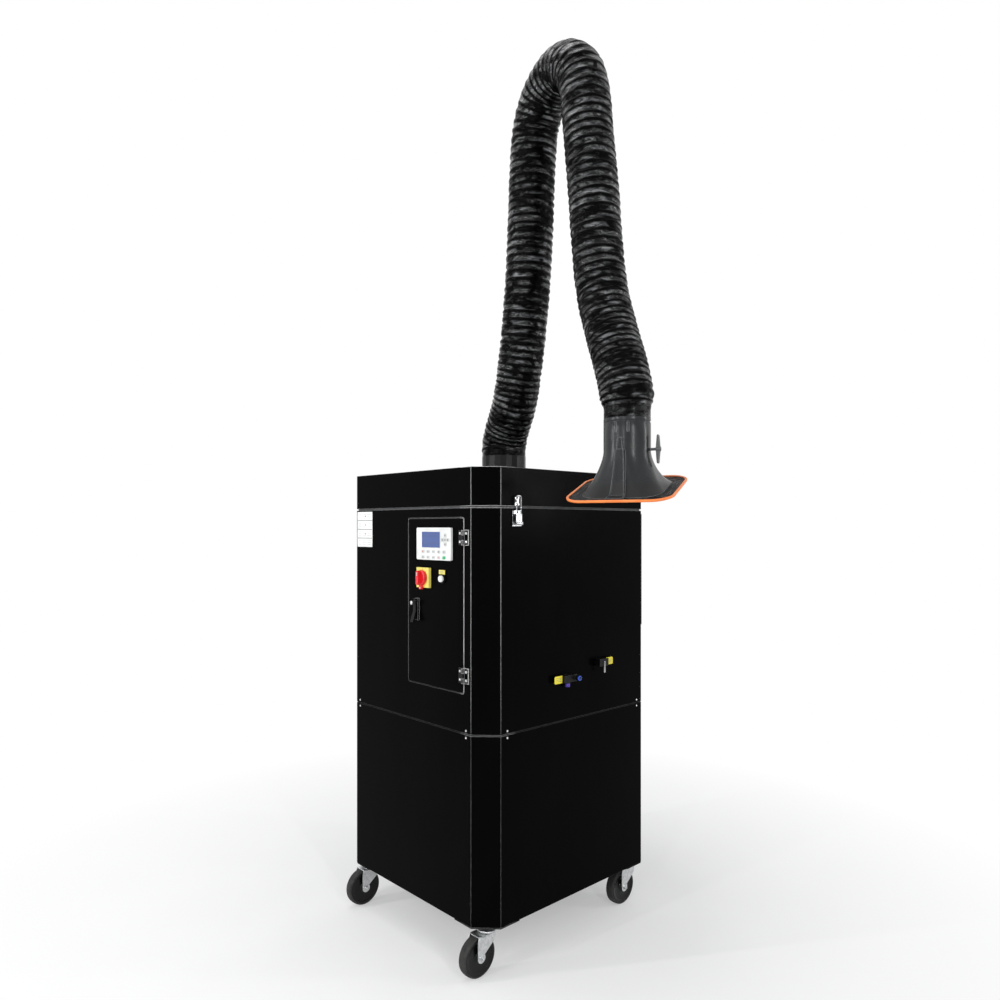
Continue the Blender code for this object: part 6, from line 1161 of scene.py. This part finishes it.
def air_fittings():
    """Yellow tags with lines, the blue collet ring, the violet drain cap and hexagon nuts."""
    tags, marks, ring, cap, nuts = new_shapes(5)
    for y, z in TAGS:
        side_slab(tags, rounded(0.0372, 0.0242, 0.004), 0.3904, y, z, 0.0023)
        for shift in (-0.005, 0, 0.005):
            side_slab(marks, rounded(0.024, 0.0012, 0.0004), 0.3927, y, z + shift, 0.0001)
    put("air_tags", "cabinet", tags, "tag", soft=0.0005)
    put("air_tag_lines", "cabinet", marks, "grey")
    profile = [(0.0046, 0), (0.0084, 0), (0.0084, 0.0026), (0.0074, 0.004), (0.0046, 0.004)]
    add_lathe(ring, profile, Vector((0.416, -0.032, 0.872)), X_AXIS, 40, "joined")
    put("air_port_ring", "cabinet", ring, "blue")
    profile = [(0.007, 0), (0.0084, 0.0008), (0.0086, 0.01), (0.008, 0.0116), (0.005, 0.012)]
    add_lathe(cap, profile, Vector((0.3908, -0.062, 0.8446)), UP, 40)
    put("air_drain_cap", "cabinet", cap, "violet")
    for y, z in NUTS:
        side_slab(nuts, polygon(6, 0.0128), 0.3789, y, z, 0.005)
    put("air_nuts", "cabinet", nuts, "brass", soft=0.0008)


def seam_bolts():
    """Screws above and below the corners of the seam between the cabinet's sections."""
    places = []
    for side in (-1, 1):
        out = X_AXIS * side
        faces = ((0.292, FRONT, OUT_FRONT), (0.292, -FRONT, -OUT_FRONT), (SIDE, -0.318, out), (SIDE, 0.318, out))
        for x, y, away in faces:
            places += [((side * x, y, SEAM_HEIGHT + shift), away) for shift in (SEAM_SCREW, -SEAM_SCREW)]
    put_screws("seam_screws", "cabinet", places, 0.0028, 0.0016)


def lid_details():
    """Screws round the duct collar's flange."""
    circle = polygon(6, (COLLAR_HIGH.x - COLLAR_LOW.x) / 2 - 0.0075, math.tau / 12)
    places = [(DUCT_MIDDLE + Vector((x, y, 0.0023)), UP) for x, y in circle]
    put_screws("collar_screws", "lid", places, 0.0032, 0.0022)


# Floor, light and camera

CAMERA_PLACE = (2.0991, -1.9415, 1.3617)
CAMERA_YAW = math.radians(47.2)
CAMERA_LENS = 28.107
CAMERA_SHIFT_UP = 0.0272
AMBIENT = 0.54
# Name, place, point it looks at, size and power; the first four are tall strips for upright highlights
LAMPS = (
    ("key", (-1.5, -3.5, 2.2), (0.1, 0, 1.6), (0.07, 2.4), 42),
    ("key_side", (0.1, -3.8, 2.2), (0.1, 0, 1.6), (0.06, 2.2), 26),
    ("front", (1.9, -3.3, 2.2), (0.1, 0, 1.6), (0.06, 2.2), 16),
    ("fill", (3.6, -1.4, 2.2), (0.1, 0, 1.6), (0.1, 2.2), 34),
    ("rim", (3.2, 2.6, 2.4), (0.1, 0, 1.5), (0.3, 2.0), 24),
    ("top", (-0.6, -0.6, 5.2), (0.2, 0, 1.2), (2.2, 2.2), 42),
)


def floor_and_backdrop():
    """A wide pale floor that keeps the shadow, and fades to the backdrop's white away from the object."""
    shape = bmesh.new()
    shape.faces.new(loop_of(shape, ((-9, -9, 0), (9, -9, 0), (9, 9, 0), (-9, 9, 0))))
    s = Surface("floor", (0.9, 0.9, 0.9), 0.85, Specular_IOR_Level=0.1)
    s.paint(s.cloud(3, 5), (0.885, 0.885, 0.885), (0.915, 0.915, 0.915))
    s.grain(0.03, 0.0005, 220, 4)
    FINISH["floor"] = s.done()
    length = s.add("ShaderNodeVectorMath", operation="LENGTH")
    s.link(s.place, length.inputs[0])
    share = s.times(s.ranged(length.outputs["Value"], 0.35, 1, 0.7, 2.1), s.background_rays())
    white = s.add("ShaderNodeEmission").outputs[0]
    s.mix_shaders(share, s.shader.outputs[0], white, s.tree.nodes["Material Output"].inputs["Surface"])
    new_object("floor", shape, "floor")


def world():
    """Soft pale light from all round, and plain white for the rays that show the background."""
    studio = bpy.data.worlds.new("studio")
    bpy.context.scene.world = studio
    studio.use_nodes = True
    nodes = Nodes(studio.node_tree)
    nodes.tree.nodes.clear()
    shaders = []
    for colour, strength in (((0.97, 0.985, 1.0), AMBIENT), ((1, 1, 1), 1.0)):
        background = nodes.add("ShaderNodeBackground")
        nodes.feed(background.inputs["Color"], colour)
        nodes.feed(background.inputs["Strength"], strength)
        shaders.append(background.outputs[0])
    output = nodes.add("ShaderNodeOutputWorld")
    nodes.mix_shaders(nodes.background_rays(), *shaders, output.inputs["Surface"])


def lights():
    for name, place, target, size, power in LAMPS:
        data = bpy.data.lights.new(name, "AREA")
        data.shape = "RECTANGLE"
        data.size, data.size_y = size
        data.energy = power
        lamp = bpy.data.objects.new(name, data)
        lamp.location = place
        lamp.rotation_euler = (Vector(target) - Vector(place)).to_track_quat("-Z", "Y").to_euler()
        bpy.context.scene.collection.objects.link(lamp)


def camera():
    """The photograph's camera, level at 1.36 m."""
    data = bpy.data.cameras.new("camera")
    data.lens = CAMERA_LENS
    data.sensor_width = 36
    data.shift_y = CAMERA_SHIFT_UP
    data.clip_start, data.clip_end = 0.05, 50
    eye = bpy.data.objects.new("camera", data)
    eye.location = CAMERA_PLACE
    eye.rotation_euler = (math.radians(90), 0, CAMERA_YAW)
    bpy.context.scene.collection.objects.link(eye)
    bpy.context.scene.camera = eye
    bpy.context.scene.view_settings.view_transform = "Standard"


dress_frame()
hose()
hood()
damper()
for wheel_corner in ("front_left", "front_right", "rear_left", "rear_right"):
    caster(wheel_corner)
key_faces()
unit_details()
main_switch()
push_button()
door_lock()
hinge_screws()
switch_body_cover()
info_plate()
air_fittings()
seam_bolts()
lid_details()
floor_and_backdrop()
world()
lights()
camera()
